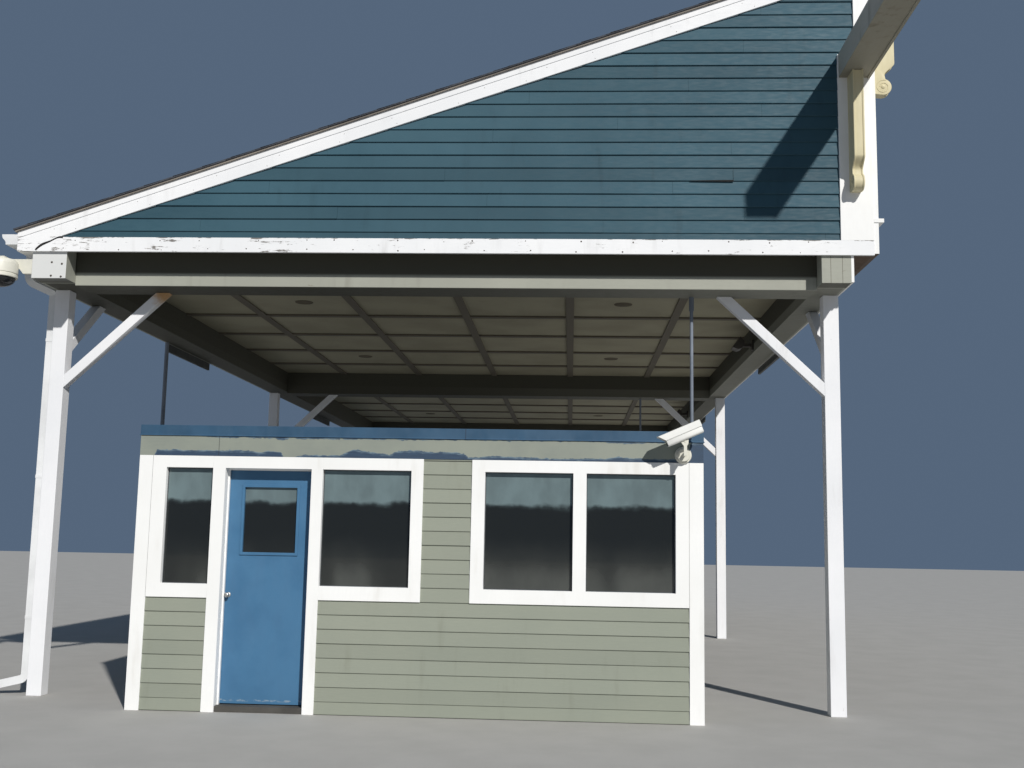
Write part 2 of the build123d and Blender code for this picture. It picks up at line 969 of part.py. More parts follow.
downspout = spout_tube(spout_half) - spout_tube(spout_half - downspout_wall)
strap_step = (strap_high - strap_low) / (strap_count - 1)
for index in range(strap_count):
    strap_z = strap_low + index * strap_step
    strap_left = spout_x - spout_half - strap_thickness
    strap = block(
        strap_left, -left_post_face, spout_y - spout_half - strap_thickness,
        spout_y + spout_half + strap_thickness, strap_z - strap_width / 2, strap_z + strap_width / 2,
    )
    strap -= block(
        spout_x - spout_half + downspout_wall / 2, -left_post_face,
        spout_y - spout_half + downspout_wall / 2, spout_y + spout_half - downspout_wall / 2,
        strap_z - strap_width / 2, strap_z + strap_width / 2,
    )
    downspout += strap
spout_outlet = block(
    outlet_x - spout_half + downspout_wall, outlet_x + spout_half - downspout_wall,
    downspout_outlet_y - spout_half + downspout_wall, downspout_outlet_y + spout_half - downspout_wall,
    gutter_low, gutter_low + gutter_wall,
)
add("gutter_back", gutter_back)
add("gutter_floor", gutter_floor - spout_outlet)
add("gutter_front", gutter_curl)
add("gutter_ends", both_ends(gutter_end_cap))
add("downspout", downspout)

# False front wall along the right side
add(
    "false_front_wall",
    block(
        front_wall_back_x, front_wall_face, gable_face, beam_back_end, front_wall_bottom, front_wall_top
    ),
)

# White boards on the false front: at its ends, along its foot, at its corners and under the cornice
outrigger_top = outrigger_bottom + outrigger_height
end_board = plate_xz(
    [
        (end_board_left, frieze_top),
        (front_wall_face, frieze_top),
        (front_wall_face, front_wall_top),
        (end_board_upper_left, front_wall_top),
        (end_board_upper_left, outrigger_top),
        (end_board_left, outrigger_top),
    ],
    trim_face,
    gable_face,
)
add("false_front_end_boards", both_ends(end_board))

ledge_bottom = front_wall_bottom + base_board_height
ledge_top = ledge_bottom + ledge_height
entablature_bottom = cornice_bottom - entablature_height
facade_start = trim_face + facade_end_step
facade_end = canopy_length_y - facade_start
base_board = block(
    front_wall_face, facade_board_face, facade_start, facade_end, front_wall_bottom, ledge_bottom
)
ledge = block(
    front_wall_face, facade_board_face + ledge_reach, trim_face, canopy_length_y - trim_face,
    ledge_bottom, ledge_top,
)
upper_boards = block(
    front_wall_face, facade_board_face, facade_start, facade_end, ledge_top, front_wall_top
)
upper_boards -= block(
    front_wall_face, facade_board_face,
    facade_start + facade_corner_width, facade_end - facade_corner_width,
    ledge_top, entablature_bottom,
)
add("facade_boards", base_board + ledge + upper_boards)

# Cornice: a moulded length along the top of the false front, with its cap over the wall
cap_bottom = front_wall_top
cap_top = front_wall_top + cornice_cap_height
crown_face = facade_board_face + cornice_reach
cornice_rise = cap_bottom - cornice_bottom
bed_reach = cornice_reach * 0.2
corona_reach = cornice_reach * 0.78
corona_low = cornice_bottom + cornice_rise * 0.3
corona_high = cornice_bottom + cornice_rise * 0.58
cornice_edges = Polyline(
    (facade_board_face, cornice_bottom),
    (facade_board_face + bed_reach, cornice_bottom),
)
cornice_edges += ThreePointArc(
    (facade_board_face + bed_reach, cornice_bottom),
    (facade_board_face + bed_reach * 1.25, corona_low - (corona_low - cornice_bottom) * 0.35),
    (facade_board_face + bed_reach * 2, corona_low),
)
cornice_edges += Polyline(
    (facade_board_face + bed_reach * 2, corona_low),
    (facade_board_face + corona_reach, corona_low),
    (facade_board_face + corona_reach, corona_high),
)
crown_middle = (
    (facade_board_face + corona_reach + crown_face) / 2,
    (corona_high + cap_bottom) / 2,
)
cornice_edges += ThreePointArc(
    (facade_board_face + corona_reach, corona_high),
    (
        facade_board_face + corona_reach + (crown_middle[0] - facade_board_face - corona_reach) * 0.75,
        corona_high + (crown_middle[1] - corona_high) * 0.4,
    ),
    crown_middle,
)
cornice_edges += ThreePointArc(
    crown_middle,
    (
        crown_middle[0] + (crown_face - crown_middle[0]) * 0.25,
        crown_middle[1] + (cap_bottom - crown_middle[1]) * 0.6,
    ),
    (crown_face, cap_bottom),
)
cornice_edges += Polyline(
    (crown_face, cap_bottom),
    (crown_face, cap_top),
    (front_wall_back_x - cornice_cap_back, cap_top),
    (front_wall_back_x - cornice_cap_back, cap_bottom),
    (facade_board_face, cap_bottom),
    (facade_board_face, cornice_bottom),
)
cornice_start = trim_face - cornice_end_overhang
cornice_end = canopy_length_y - cornice_start
false_front_cornice = extrude(
    Plane.XZ.offset(-cornice_start) * make_face(cornice_edges),
    amount=cornice_end - cornice_start,
    dir=(0, 1, 0),
)
add("false_front_cornice", false_front_cornice)


def scroll_bracket():
    """
    A tall console with a scrolled foot. Its back is the plane X = 0, it reaches out along +X,
    stands on Z = 0 and is centred on Y = 0.
    """
    shaft = Pos(bracket_reach / 2, (shaft_bottom + bracket_height) / 2) * Rectangle(
        bracket_reach, bracket_height - shaft_bottom
    )
    neck_outline = (
        Polyline(
            (0, scroll_radius),
            (0, shaft_bottom),
            (bracket_reach, shaft_bottom),
        )
        + ThreePointArc(
            (bracket_reach, shaft_bottom),
            (
                neck_reach + (bracket_reach - neck_reach) * 0.42,
                neck_height + (shaft_bottom - neck_height) * 0.36,
            ),
            (neck_reach, neck_height),
        )
        + Polyline((neck_reach, neck_height), (scroll_centre_out, scroll_radius), (0, scroll_radius))
    )
    scroll = Pos(scroll_centre_out, scroll_radius) * RegularPolygon(scroll_radius, scroll_sides)
    foot = Pos(scroll_centre_out / 2, scroll_radius / 2) * Rectangle(scroll_centre_out, scroll_radius)
    outline = shaft + make_face(neck_outline) + scroll + foot
    body = extrude(Plane.XZ.offset(bracket_width / 2) * outline, amount=bracket_width, dir=(0, 1, 0))
    groove = RegularPolygon(scroll_radius * 0.74, scroll_groove_sides)
    groove -= RegularPolygon(scroll_radius * 0.5, scroll_groove_sides)
    for face_y, inward in ((-bracket_width / 2, 1), (bracket_width / 2, -1)):
        cut = extrude(
            Plane.XZ.offset(-face_y) * Pos(scroll_centre_out, scroll_radius) * groove,
            amount=scroll_groove_depth,
            dir=(0, inward, 0),
        )
        body -= cut
    panel = block(
        bracket_reach - scroll_groove_depth, bracket_reach,
        panel_border - bracket_width / 2, bracket_width / 2 - panel_border,
        shaft_bottom + panel_low_gap, bracket_height - panel_high_gap,
    )
    return body - panel


console = scroll_bracket()
bracket_first = gable_face + bracket_end_inset
bracket_step = (canopy_length_y - 2 * bracket_first) / (bracket_count - 1)
cornice_consoles = [
    Pos(facade_board_face, bracket_first + index * bracket_step, cornice_bottom - bracket_height) * console
    for index in range(bracket_count)
]

# Outriggers: plain beams that stick out beyond each end of the false front, each on a console
outrigger_right = outrigger_left + outrigger_width
outrigger_tip = trim_face - outrigger_reach
outrigger = block(
    outrigger_left, outrigger_right, outrigger_tip, trim_face, outrigger_bottom, outrigger_top
)
outrigger += block(
    outrigger_right - outrigger_lip_width, outrigger_right, outrigger_tip, trim_face,
    outrigger_bottom - outrigger_lip_drop, outrigger_bottom,
)
add("outriggers", both_ends(outrigger))
outrigger_console = (
    Pos(outrigger_left + outrigger_console_inset, trim_face, outrigger_bottom - bracket_height)
    * Rot(Z=-90)
    * console
)
add("scroll_brackets", cornice_consoles, both_ends(outrigger_console))

# Lane boards: blank boards on the outer faces of the side beams, over each lane
lane_boards = []
for line in row_lines[:-1]:
    y0 = line + lane_board_start
    y1 = y0 + lane_board_length
    lane_boards.append(
        block(
            -left_post_face - lane_board_thickness, -left_post_face, y0, y1,
            left_lane_board_bottom, frieze_bottom,
        )
    )
    right_face = right_post_face + side_board_thickness
    lane_boards.append(
        block(
            right_face, right_face + lane_board_thickness, y0, y1,
            right_lane_board_bottom, front_wall_bottom,
        )
    )
add("lane_boards", lane_boards)


def floodlight(y):
    """A floodlight on an arm from the inner face of the right side beam, tipped down."""
    arm_z = beam_underside + floodlight_arm_rise
    half_arm = floodlight_arm_size / 2
    half_pad = floodlight_pad_size / 2
    arm = block(
        right_beam_inner - floodlight_arm, right_beam_inner,
        y - half_arm, y + half_arm, arm_z - half_arm, arm_z + half_arm,
    )
    pad = block(
        right_beam_inner - floodlight_pad_thickness, right_beam_inner,
        y - half_pad, y + half_pad, arm_z - half_pad, arm_z + half_pad,
    )
    head = Box(floodlight_depth, floodlight_width, floodlight_height)
    head = Pos(right_beam_inner - floodlight_arm, y, arm_z) * Rot(Y=floodlight_tip) * head
    return arm + pad + head


add("floodlights", [floodlight(line + floodlight_offset) for line in row_lines[:-1]])

# Dome camera on its arm, fixed to the left side beam at its front end
dome_x = -left_post_face - dome_reach
dome_y = gable_face - dome_forward
dome_rim_height = beam_underside - dome_rim_drop
dome_glass_radius = dome_radius - dome_glass_step
dome_head = many_sided(
    [
        (dome_radius, 0),
        (dome_radius, dome_cap_height - dome_cap_bevel),
        (dome_radius - dome_cap_bevel, dome_cap_height),
    ],
    dome_sides,
)
dome_head += many_sided(
    [
        (dome_glass_radius * 0.38, -dome_glass_depth),
        (dome_glass_radius * 0.7, -dome_glass_depth * 0.81),
        (dome_glass_radius * 0.92, -dome_glass_depth * 0.45),
        (dome_glass_radius, 0),
    ],
    dome_sides,
)
arm_top = dome_rim_height + dome_cap_height + dome_arm_depth
arm_low = arm_top - dome_arm_depth
arm_root = -left_post_face
arm_tip = dome_x - dome_plate_half
arm_foot_z = beam_underside + dome_arm_foot_rise
dome_arm_edges = (
    Polyline(
        (arm_tip, arm_top),
        (arm_root, arm_top),
        (arm_root, arm_foot_z),
        (arm_root - dome_arm_foot, arm_foot_z),
    )
    + ThreePointArc(
        (arm_root - dome_arm_foot, arm_foot_z),
        (arm_root - 1.9 * dome_arm_foot, (arm_foot_z + 2 * arm_low) / 3),
        (arm_root - 2.65 * dome_arm_foot, arm_low),
    )
    + Polyline(
        (arm_root - 2.65 * dome_arm_foot, arm_low),
        (arm_tip, arm_low),
        (arm_tip, arm_top),
    )
)
dome_arm = extrude(
    Plane.XZ.offset(-gable_face) * make_face(dome_arm_edges),
    amount=dome_arm_thickness,
    dir=(0, 1, 0),
)
dome_arm += block(
    arm_tip, dome_x + dome_plate_half, dome_y - dome_plate_half, gable_face, arm_low, arm_top
)
add("dome_camera", dome_arm + Pos(dome_x, dome_y, dome_rim_height) * dome_head)

# Conduits: from the booth's roof edge up to the first cross beam, and two that stand on the ground
conduit_y = end_cross_beam_back - 2 * conduit_coupling_radius
power_conduit = rod(
    (conduit_x, conduit_y, flashing_top), (conduit_x, conduit_y, cross_bottom), conduit_radius
)
power_conduit += rod(
    (conduit_x, conduit_y, cross_bottom - conduit_coupling_length),
    (conduit_x, conduit_y, cross_bottom),
    conduit_coupling_radius,
)
lane_riser = rod(
    (lane_riser_x, lane_riser_y, 0), (lane_riser_x, lane_riser_y, beam_underside), lane_riser_radius
)
middle_riser = rod(
    (conduit_x, row_lines[1], 0), (conduit_x, row_lines[1], cross_bottom), conduit_radius
)
add("conduits", power_conduit, lane_riser, middle_riser)

# Bullet camera over the right end of the booth's fascia
fascia_face = booth_front - fascia_outset
camera_x = booth_right - camera_inset
camera_box_x = camera_x + camera_box_right
camera_height = fascia_top + camera_rise
box_z = camera_height - camera_box_below
box_front = fascia_face - camera_box_depth
camera_y = fascia_face - camera_stand_off
camera_box = rod((camera_box_x, fascia_face, box_z), (camera_box_x, box_front, box_z), camera_box_radius)
stem = rod((camera_box_x, box_front, box_z), (camera_box_x, camera_y, box_z), camera_stem_radius)
riser = rod(
    (camera_box_x, camera_y, box_z - camera_stem_radius),
    (camera_box_x, camera_y, camera_height),
    camera_stem_radius,
)
camera_body = Box(camera_length, camera_width, camera_body_height)
camera_body = chamfer(camera_body.edges().filter_by(Axis.X), length=camera_body_round)
camera_body += Pos(-camera_shield_longer / 2, 0, camera_body_height / 2) * Box(
    camera_length + camera_shield_longer, camera_width + camera_shield_wider, camera_shield_thickness
)
camera_body = Pos(camera_x, camera_y, camera_height) * Rot(Y=-camera_tilt) * camera_body
add("bullet_camera", camera_box + stem + riser + camera_body)

os.makedirs("parts", exist_ok=True)
for name, solids in nodes.items():
    shape = solids[0] if len(solids) == 1 else Compound(children=solids)
    export_step(shape, f"parts/{name}.step")
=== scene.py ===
"""
Looks of a toll booth under its two-bay canopy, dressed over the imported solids.

Everything is in metres in the frame of the solids: the origin is on the ground under the
booth's middle, X runs along the booth, Y back across the lanes and Z up.
"""

import logging
import math
from dataclasses import dataclass, field, replace
from enum import Enum
from typing import Optional, Sequence, Union

import bmesh
import bpy
import numpy as np
from mathutils import Matrix, Vector


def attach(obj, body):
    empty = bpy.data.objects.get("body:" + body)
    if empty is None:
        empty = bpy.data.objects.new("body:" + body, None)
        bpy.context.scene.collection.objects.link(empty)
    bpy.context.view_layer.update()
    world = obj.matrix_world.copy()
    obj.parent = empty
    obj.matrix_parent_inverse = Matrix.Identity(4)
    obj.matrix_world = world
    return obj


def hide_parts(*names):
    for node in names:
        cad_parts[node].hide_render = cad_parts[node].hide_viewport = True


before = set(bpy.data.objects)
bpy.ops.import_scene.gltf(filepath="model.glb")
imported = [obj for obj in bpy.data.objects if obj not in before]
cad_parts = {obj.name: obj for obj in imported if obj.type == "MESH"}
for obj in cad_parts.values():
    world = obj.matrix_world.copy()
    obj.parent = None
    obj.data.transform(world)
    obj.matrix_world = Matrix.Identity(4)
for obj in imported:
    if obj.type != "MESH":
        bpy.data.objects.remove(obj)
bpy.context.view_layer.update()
LOG = logging.getLogger("toll_booth")

Colour = tuple[float, float, float]
Point = tuple[float, float, float]
Amount = Union["Value", float, Colour]

SHARP_ANGLE = math.radians(32)
ROUNDED_ANGLE = math.radians(38)
WELD_DISTANCE = 0.00005
AXIS_RADIUS = 1e-5
BLOCK_RINGS = np.array([[(end, 0, 0), (end, 1, 0), (end, 1, 1), (end, 0, 1)] for end in (0, 1)])
OUT_FRONT, OUT_BACK, UPWARDS, DOWNWARDS = (0, -1, 0), (0, 1, 0), (0, 0, 1), (0, 0, -1)


class Axis(Enum):
    """A direction of the frame; the value is its place in a coordinate triple."""

    X = 0
    Y = 1
    Z = 2


class Side(Enum):
    """Which way the boards of a wall look: the axis across the wall, and the sign."""

    FRONT = (Axis.Y, -1.0)
    BACK = (Axis.Y, 1.0)
    LEFT = (Axis.X, -1.0)
    RIGHT = (Axis.X, 1.0)


class Shading(Enum):
    """How a piece's faces are shaded."""

    FLAT = "flat"
    SMOOTH = "smooth"
    BY_ANGLE = "by_angle"


def srgb(*levels: float) -> Colour:
    """A colour read off from 0 to 255, turned to the linear values of a shader."""
    return tuple(((v / 255 + 0.055) / 1.055) ** 2.4 if v > 10.3 else v / 3294.6 for v in levels)


def lighter(colour: Colour, factor: float) -> Colour:
    """A colour times a factor."""
    return tuple(v * factor for v in colour)


# --- Meshes ---


def grid_quads(rows: int, columns: int, wrap_rows: bool = False,
               wrap_columns: bool = False) -> np.ndarray:
    """
    The quads of a grid of points numbered row by row.

    Args:
        rows: Number of rows.
        columns: Number of points in a row.
        wrap_rows: Whether the last row joins the first.
        wrap_columns: Whether the last point of a row joins the first.

    Returns:
        An array of point numbers, four to a face.
    """
    i = np.arange(rows if wrap_rows else rows - 1)[:, None]
    j = np.arange(columns if wrap_columns else columns - 1)[None, :]
    below, after = (i + 1) % rows * columns, (j + 1) % columns
    here = i * columns
    return np.stack([here + j, here + after, below + after, below + j], -1).reshape(-1, 4)


def carried(outline: Sequence, axis: Axis, places: Sequence[float]) -> np.ndarray:
    """
    A flat outline set at several places along an axis.

    Args:
        outline: Pairs of coordinates in the other two axes, in the frame's order.
        axis: The axis that it is carried along.
        places: Where it is set.

    Returns:
        One ring of points for each place.
    """
    return np.stack([np.insert(np.asarray(outline, float), axis.value, place, axis=1)
                     for place in places])


@dataclass
class Surface:
    """The points and faces of one piece, gathered from the shapes that it is made of."""

    points: list[np.ndarray] = field(default_factory=list)
    faces: list[list[int]] = field(default_factory=list)
    count: int = 0

    def add(self, points: np.ndarray, faces: Sequence) -> "Surface":
        """
        Adds a shape.

        Args:
            points: Its points, three numbers each.
            faces: Its faces, as point numbers from 0.

        Returns:
            This surface.
        """
        flat = np.asarray(points, float).reshape(-1, 3)
        self.points.append(flat)
        self.faces.extend([[int(n) + self.count for n in face] for face in faces])
        self.count += len(flat)
        return self

    def grid(self, points: np.ndarray, wrap_rows: bool = False,
             wrap_columns: bool = False) -> "Surface":
        """
        Adds a grid of points as a sheet, a tube or a closed ring.

        Args:
            points: An array of rows, columns and three coordinates.
            wrap_rows: Whether the last row joins the first.
            wrap_columns: Whether each row is a closed ring.

        Returns:
            This surface.
        """
        return self.add(points, grid_quads(*points.shape[:2], wrap_rows, wrap_columns).tolist())

    def bars(self, sections: np.ndarray) -> "Surface":
        """
        Adds many closed bars at once. Each is a ring of points carried along stations.

        Args:
            sections: An array of bars, stations, ring points and three coordinates.

        Returns:
            This surface.
        """
        bars, stations, ring = sections.shape[:3]
        one = grid_quads(stations, ring, wrap_columns=True)
        ends = np.stack([np.arange(ring)[::-1], np.arange(ring) + (stations - 1) * ring])
        step = (np.arange(bars) * stations * ring)[:, None, None]
        return self.add(sections, (one[None] + step).reshape(-1, 4).tolist()
                        + (ends[None] + step).reshape(-1, ring).tolist())

    def bar(self, rings: np.ndarray) -> "Surface":
        """Adds one closed bar, given by its rings of points."""
        return self.bars(np.asarray(rings)[None])

    def blocks(self, pairs: Sequence) -> "Surface":
        """
        Adds square-edged blocks.

        Args:
            pairs: Two opposite corners of each block.

        Returns:
            This surface.
        """
        corners = np.asarray(pairs, float)
        low, size = corners.min(1), np.ptp(corners, axis=1)
        return self.bars(low[:, None, None] + BLOCK_RINGS * size[:, None, None])

    def turned(self, profile: Sequence, centre: Point, axis: Point = UPWARDS,
               sides: int = 40) -> "Surface":
        """
        Adds a turned shape: point (r, h) of the profile goes once round the axis at distance r.

        Args:
            profile: Pairs of distance from the axis and height along it, from r = 0 to r = 0.
            centre: Where the height is 0.
            axis: The way the height runs.
            sides: Points round the circle.

        Returns:
            This surface.
        """
        outline = np.asarray(profile, float)
        radius = np.maximum(outline[:, :1], AXIS_RADIUS)
        angle = np.linspace(0, 2 * np.pi, sides, endpoint=False)
        height = np.repeat(outline[:, 1:], sides, 1)
        local = np.stack([radius * np.cos(angle), radius * np.sin(angle), height], -1)
        turn = np.array(Vector(UPWARDS).rotation_difference(Vector(axis)).to_matrix())
        return self.bar(local @ turn.T + np.asarray(centre))

    def tube(self, path: np.ndarray, radius: float, sides: int) -> "Surface":
        """
        Adds a round tube: each ring lies square to the path's direction at its point.

        Args:
            path: The points that it follows.
            radius: Its radius.
            sides: Points round it.

        Returns:
            This surface.
        """
        way = np.gradient(path, axis=0)
        way /= np.linalg.norm(way, axis=1)[:, None]
        helper = np.where(np.abs(way[:, 2:]) < 0.9, [[0.0, 0.0, 1.0]], [[0.0, 1.0, 0.0]])
        across = np.cross(way, helper)
        across /= np.linalg.norm(across, axis=1)[:, None]
        third = np.cross(way, across)
        angle = np.linspace(0, 2 * np.pi, sides, endpoint=False)[None, :, None]
        return self.bar(path[:, None] + radius * (np.cos(angle) * across[:, None]
                                                  + np.sin(angle) * third[:, None]))

    def build(self, name: str, finish: "Finish", slot: str, shading: Shading = Shading.FLAT,
              bevel: float = 0.0, body: str = "building") -> bpy.types.Object:
        """
        Makes the piece from what was gathered and puts it on its body.

        Args:
            name: The piece's name.
            finish: What covers it.
            slot: The record's material slot of that finish; not used.
            shading: How its faces are shaded.
            bevel: Width of the rounding of its edges, 0 for none.
            body: The solid body that it rides on.

        Returns:
            The new object.
        """
        mesh = bpy.data.meshes.new(name)
        mesh.from_pydata(np.concatenate(self.points).tolist(), [], self.faces)
        work = bmesh.new()
        work.from_mesh(mesh)
        bmesh.ops.recalc_face_normals(work, faces=work.faces)
        work.to_mesh(mesh)
        work.free()
        if shading is not Shading.FLAT:
            mesh.shade_smooth()
        if shading is Shading.BY_ANGLE:
            mesh.set_sharp_from_angle(angle=SHARP_ANGLE)
        piece = bpy.data.objects.new(name, mesh)
        bpy.context.scene.collection.objects.link(piece)
        mesh.materials.append(finish.material())
        if bevel:
            round_edges(piece, bevel)
        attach(piece, body)
        LOG.info("%s: %d faces", name, len(mesh.polygons))
        return piece


def round_edges(piece: bpy.types.Object, width: float, weld: bool = False) -> None:
    """
    Rounds a piece's sharp edges a little with modifiers.

    Args:
        piece: The piece.
        width: How wide the rounding is.
        weld: Whether loose triangles are joined first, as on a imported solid.
    """
    if weld:
        piece.modifiers.new("join", "WELD").merge_threshold = WELD_DISTANCE
    rounding = piece.modifiers.new("rounding", "BEVEL")
    rounding.width = width
    rounding.segments = 2
    rounding.limit_method = "ANGLE"
    rounding.angle_limit = ROUNDED_ANGLE


def dress(finish: "Finish", *names: str, bevel: float = 0.0) -> None:
    """
    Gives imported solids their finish.

    Args:
        finish: What covers them.
        names: The solids' nodes.
        bevel: Width of the rounding of their edges, 0 for none.
    """
    for name in names:
        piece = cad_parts[name]
        piece.data.materials.clear()
        piece.data.materials.append(finish.material())
        if bevel:
            round_edges(piece, bevel, weld=True)
        LOG.info("%s: %s", name, finish.name)


# --- Finishes ---


class Value:
    """A number or a colour that nodes work out; arithmetic on values adds nodes."""

    def __init__(self, graph: "Graph", socket: bpy.types.NodeSocket) -> None:
        """Keeps the graph and the socket that gives the value."""
        self.graph = graph
        self.socket = socket

    def math(self, operation: str, other: Amount = 0.0, swapped: bool = False) -> "Value":
        """One arithmetic step with another value, which comes first where swapped."""
        pair = (other, self) if swapped else (self, other)
        return self.graph.node("Math", dict(enumerate(pair)), operation=operation)

    def __add__(self, other: Amount) -> "Value":
        """The sum."""
        return self.math("ADD", other)

    def __sub__(self, other: Amount) -> "Value":
        """The difference."""
        return self.math("SUBTRACT", other)

    def __rsub__(self, other: Amount) -> "Value":
        """The difference from a number."""
        return self.math("SUBTRACT", other, swapped=True)

    def __mul__(self, other: Amount) -> "Value":
        """The product."""
        return self.math("MULTIPLY", other)

    def __truediv__(self, other: Amount) -> "Value":
        """The quotient."""
        return self.math("DIVIDE", other)

    def __abs__(self) -> "Value":
        """The distance from 0."""
        return self.math("ABSOLUTE")

    def rise(self, low: float, high: float, start: float = 0.0, end: float = 1.0) -> "Value":
        """
        A smooth step of the value.

        Args:
            low: Below this it gives the start.
            high: Above this it gives the end.
            start: What it gives first.
            end: What it gives last.

        Returns:
            The step.
        """
        return self.graph.node("MapRange", {
            "Value": self, "From Min": low, "From Max": high, "To Min": start, "To Max": end,
        }, interpolation_type="SMOOTHSTEP")

    def fall(self, low: float, high: float, start: float = 1.0) -> "Value":
        """A smooth step down to 0."""
        return self.rise(low, high, start, 0.0)

    def near(self, place: float, width: float) -> "Value":
        """1 within half a width of a place, falling to 0 just outside."""
        return abs(self - place).fall(width / 2, width)


class Graph:
    """The nodes of one material, with short calls for the ones that finishes are made of."""

    def __init__(self, name: str) -> None:
        """
        Starts an empty material with its shader and output.

        Args:
            name: The material's name.
        """
        self.material = bpy.data.materials.new(name)
        self.material.use_nodes = True
        self.tree = self.material.node_tree
        self.tree.nodes.clear()
        self.output = self.tree.nodes.new("ShaderNodeOutputMaterial").inputs[0]
        self.shader = self.tree.nodes.new("ShaderNodeBsdfPrincipled")
        self.paint = Value(self, self.shader.outputs[0])
        self.feed(self.output, self.paint)
        self.where = self.node("TexCoord", {}, "Object")
        self.x, self.y, self.z = (
            self.node("SeparateXYZ", {0: self.where}, axis.value) for axis in Axis)

    def node(self, kind: str, inputs: dict, output: Union[int, str] = 0,
             **settings: object) -> Value:
        """
        A node with its settings made and its inputs set or linked.

        Args:
            kind: The node's type name without its prefix.
            inputs: Values or numbers by input name or number.
            output: Which output is wanted.
            settings: Properties of the node.

        Returns:
            The value that it gives.
        """
        made = self.tree.nodes.new("ShaderNode" + kind)
        for key, value in settings.items():
            setattr(made, key, value)
        for key, value in inputs.items():
            self.feed(made.inputs[key], value)
        return Value(self, made.outputs[output])

    def feed(self, socket: bpy.types.NodeSocket, value: Amount) -> None:
        """
        Links an input to a value, or sets it to a number or a colour.

        Args:
            socket: The input.
            value: What it takes.
        """
        if isinstance(value, Value):
            self.tree.links.new(value.socket, socket)
        elif isinstance(value, tuple) and len(value) == 3 and len(socket.default_value) == 4:
            socket.default_value = (*value, 1.0)
        else:
            socket.default_value = value

    def noise(self, size: float, detail: float = 4.0, scale: Point = (1, 1, 1),
              roughness: float = 0.55) -> Value:
        """
        Smooth noise from 0 to 1 on the object's coordinates.

        Args:
            size: Size of its largest lumps in metres.
            detail: How many finer layers it has.
            scale: Stretch of each axis; a larger number squeezes the pattern.
            roughness: Weight of the finer layers.

        Returns:
            The noise.
        """
        return self.node("TexNoise", {
            "Vector": self.node("Mapping", {"Vector": self.where, "Scale": scale}),
            "Scale": 1 / size, "Detail": detail, "Roughness": roughness,
        }, "Fac")

    def mix(self, amount: Amount, first: Amount, second: Amount, blend: str = "MIX") -> Value:
        """Two colours mixed: the first where the amount is 0, the second where it is 1."""
        return self.node("Mix", {0: amount, 6: first, 7: second}, 2, data_type="RGBA",
                         blend_type=blend)

    def coat(self, colour: Amount, roughness: Amount, height: Optional[Value] = None,
             depth: float = 0.0, sheen: float = 0.5, metallic: float = 0.0) -> None:
        """
        Sets the shader.

        Args:
            colour: Its colour.
            roughness: Its roughness.
            height: What bumps it, from 0 to 1.
            depth: Depth of that bump in metres.
            sheen: How much it shines.
            metallic: 1 for bare metal.
        """
        inputs = {"Base Color": colour, "Roughness": roughness, "Specular IOR Level": sheen,
                  "Metallic": metallic}
        if height:
            inputs["Normal"] = self.node("Bump", {"Height": height, "Distance": depth,
                                                  "Strength": 1.0})
        for name, value in inputs.items():
            self.feed(self.shader.inputs[name], value)


@dataclass(frozen=True)
class Finish:
    """What covers a surface. Each kind makes its own nodes; a finish is made once and shared."""

    name: str

    def material(self) -> bpy.types.Material:
        """
        The material of this finish, made on first use.

        Returns:
            The material.
        """
        found = bpy.data.materials.get(self.name)
        if found:
            return found
        graph = Graph(self.name)
        self.fill(graph)
        return graph.material

    def fill(self, graph: Graph) -> None:
        """Makes the nodes in the graph. Each kind of finish has its own."""
        raise NotImplementedError


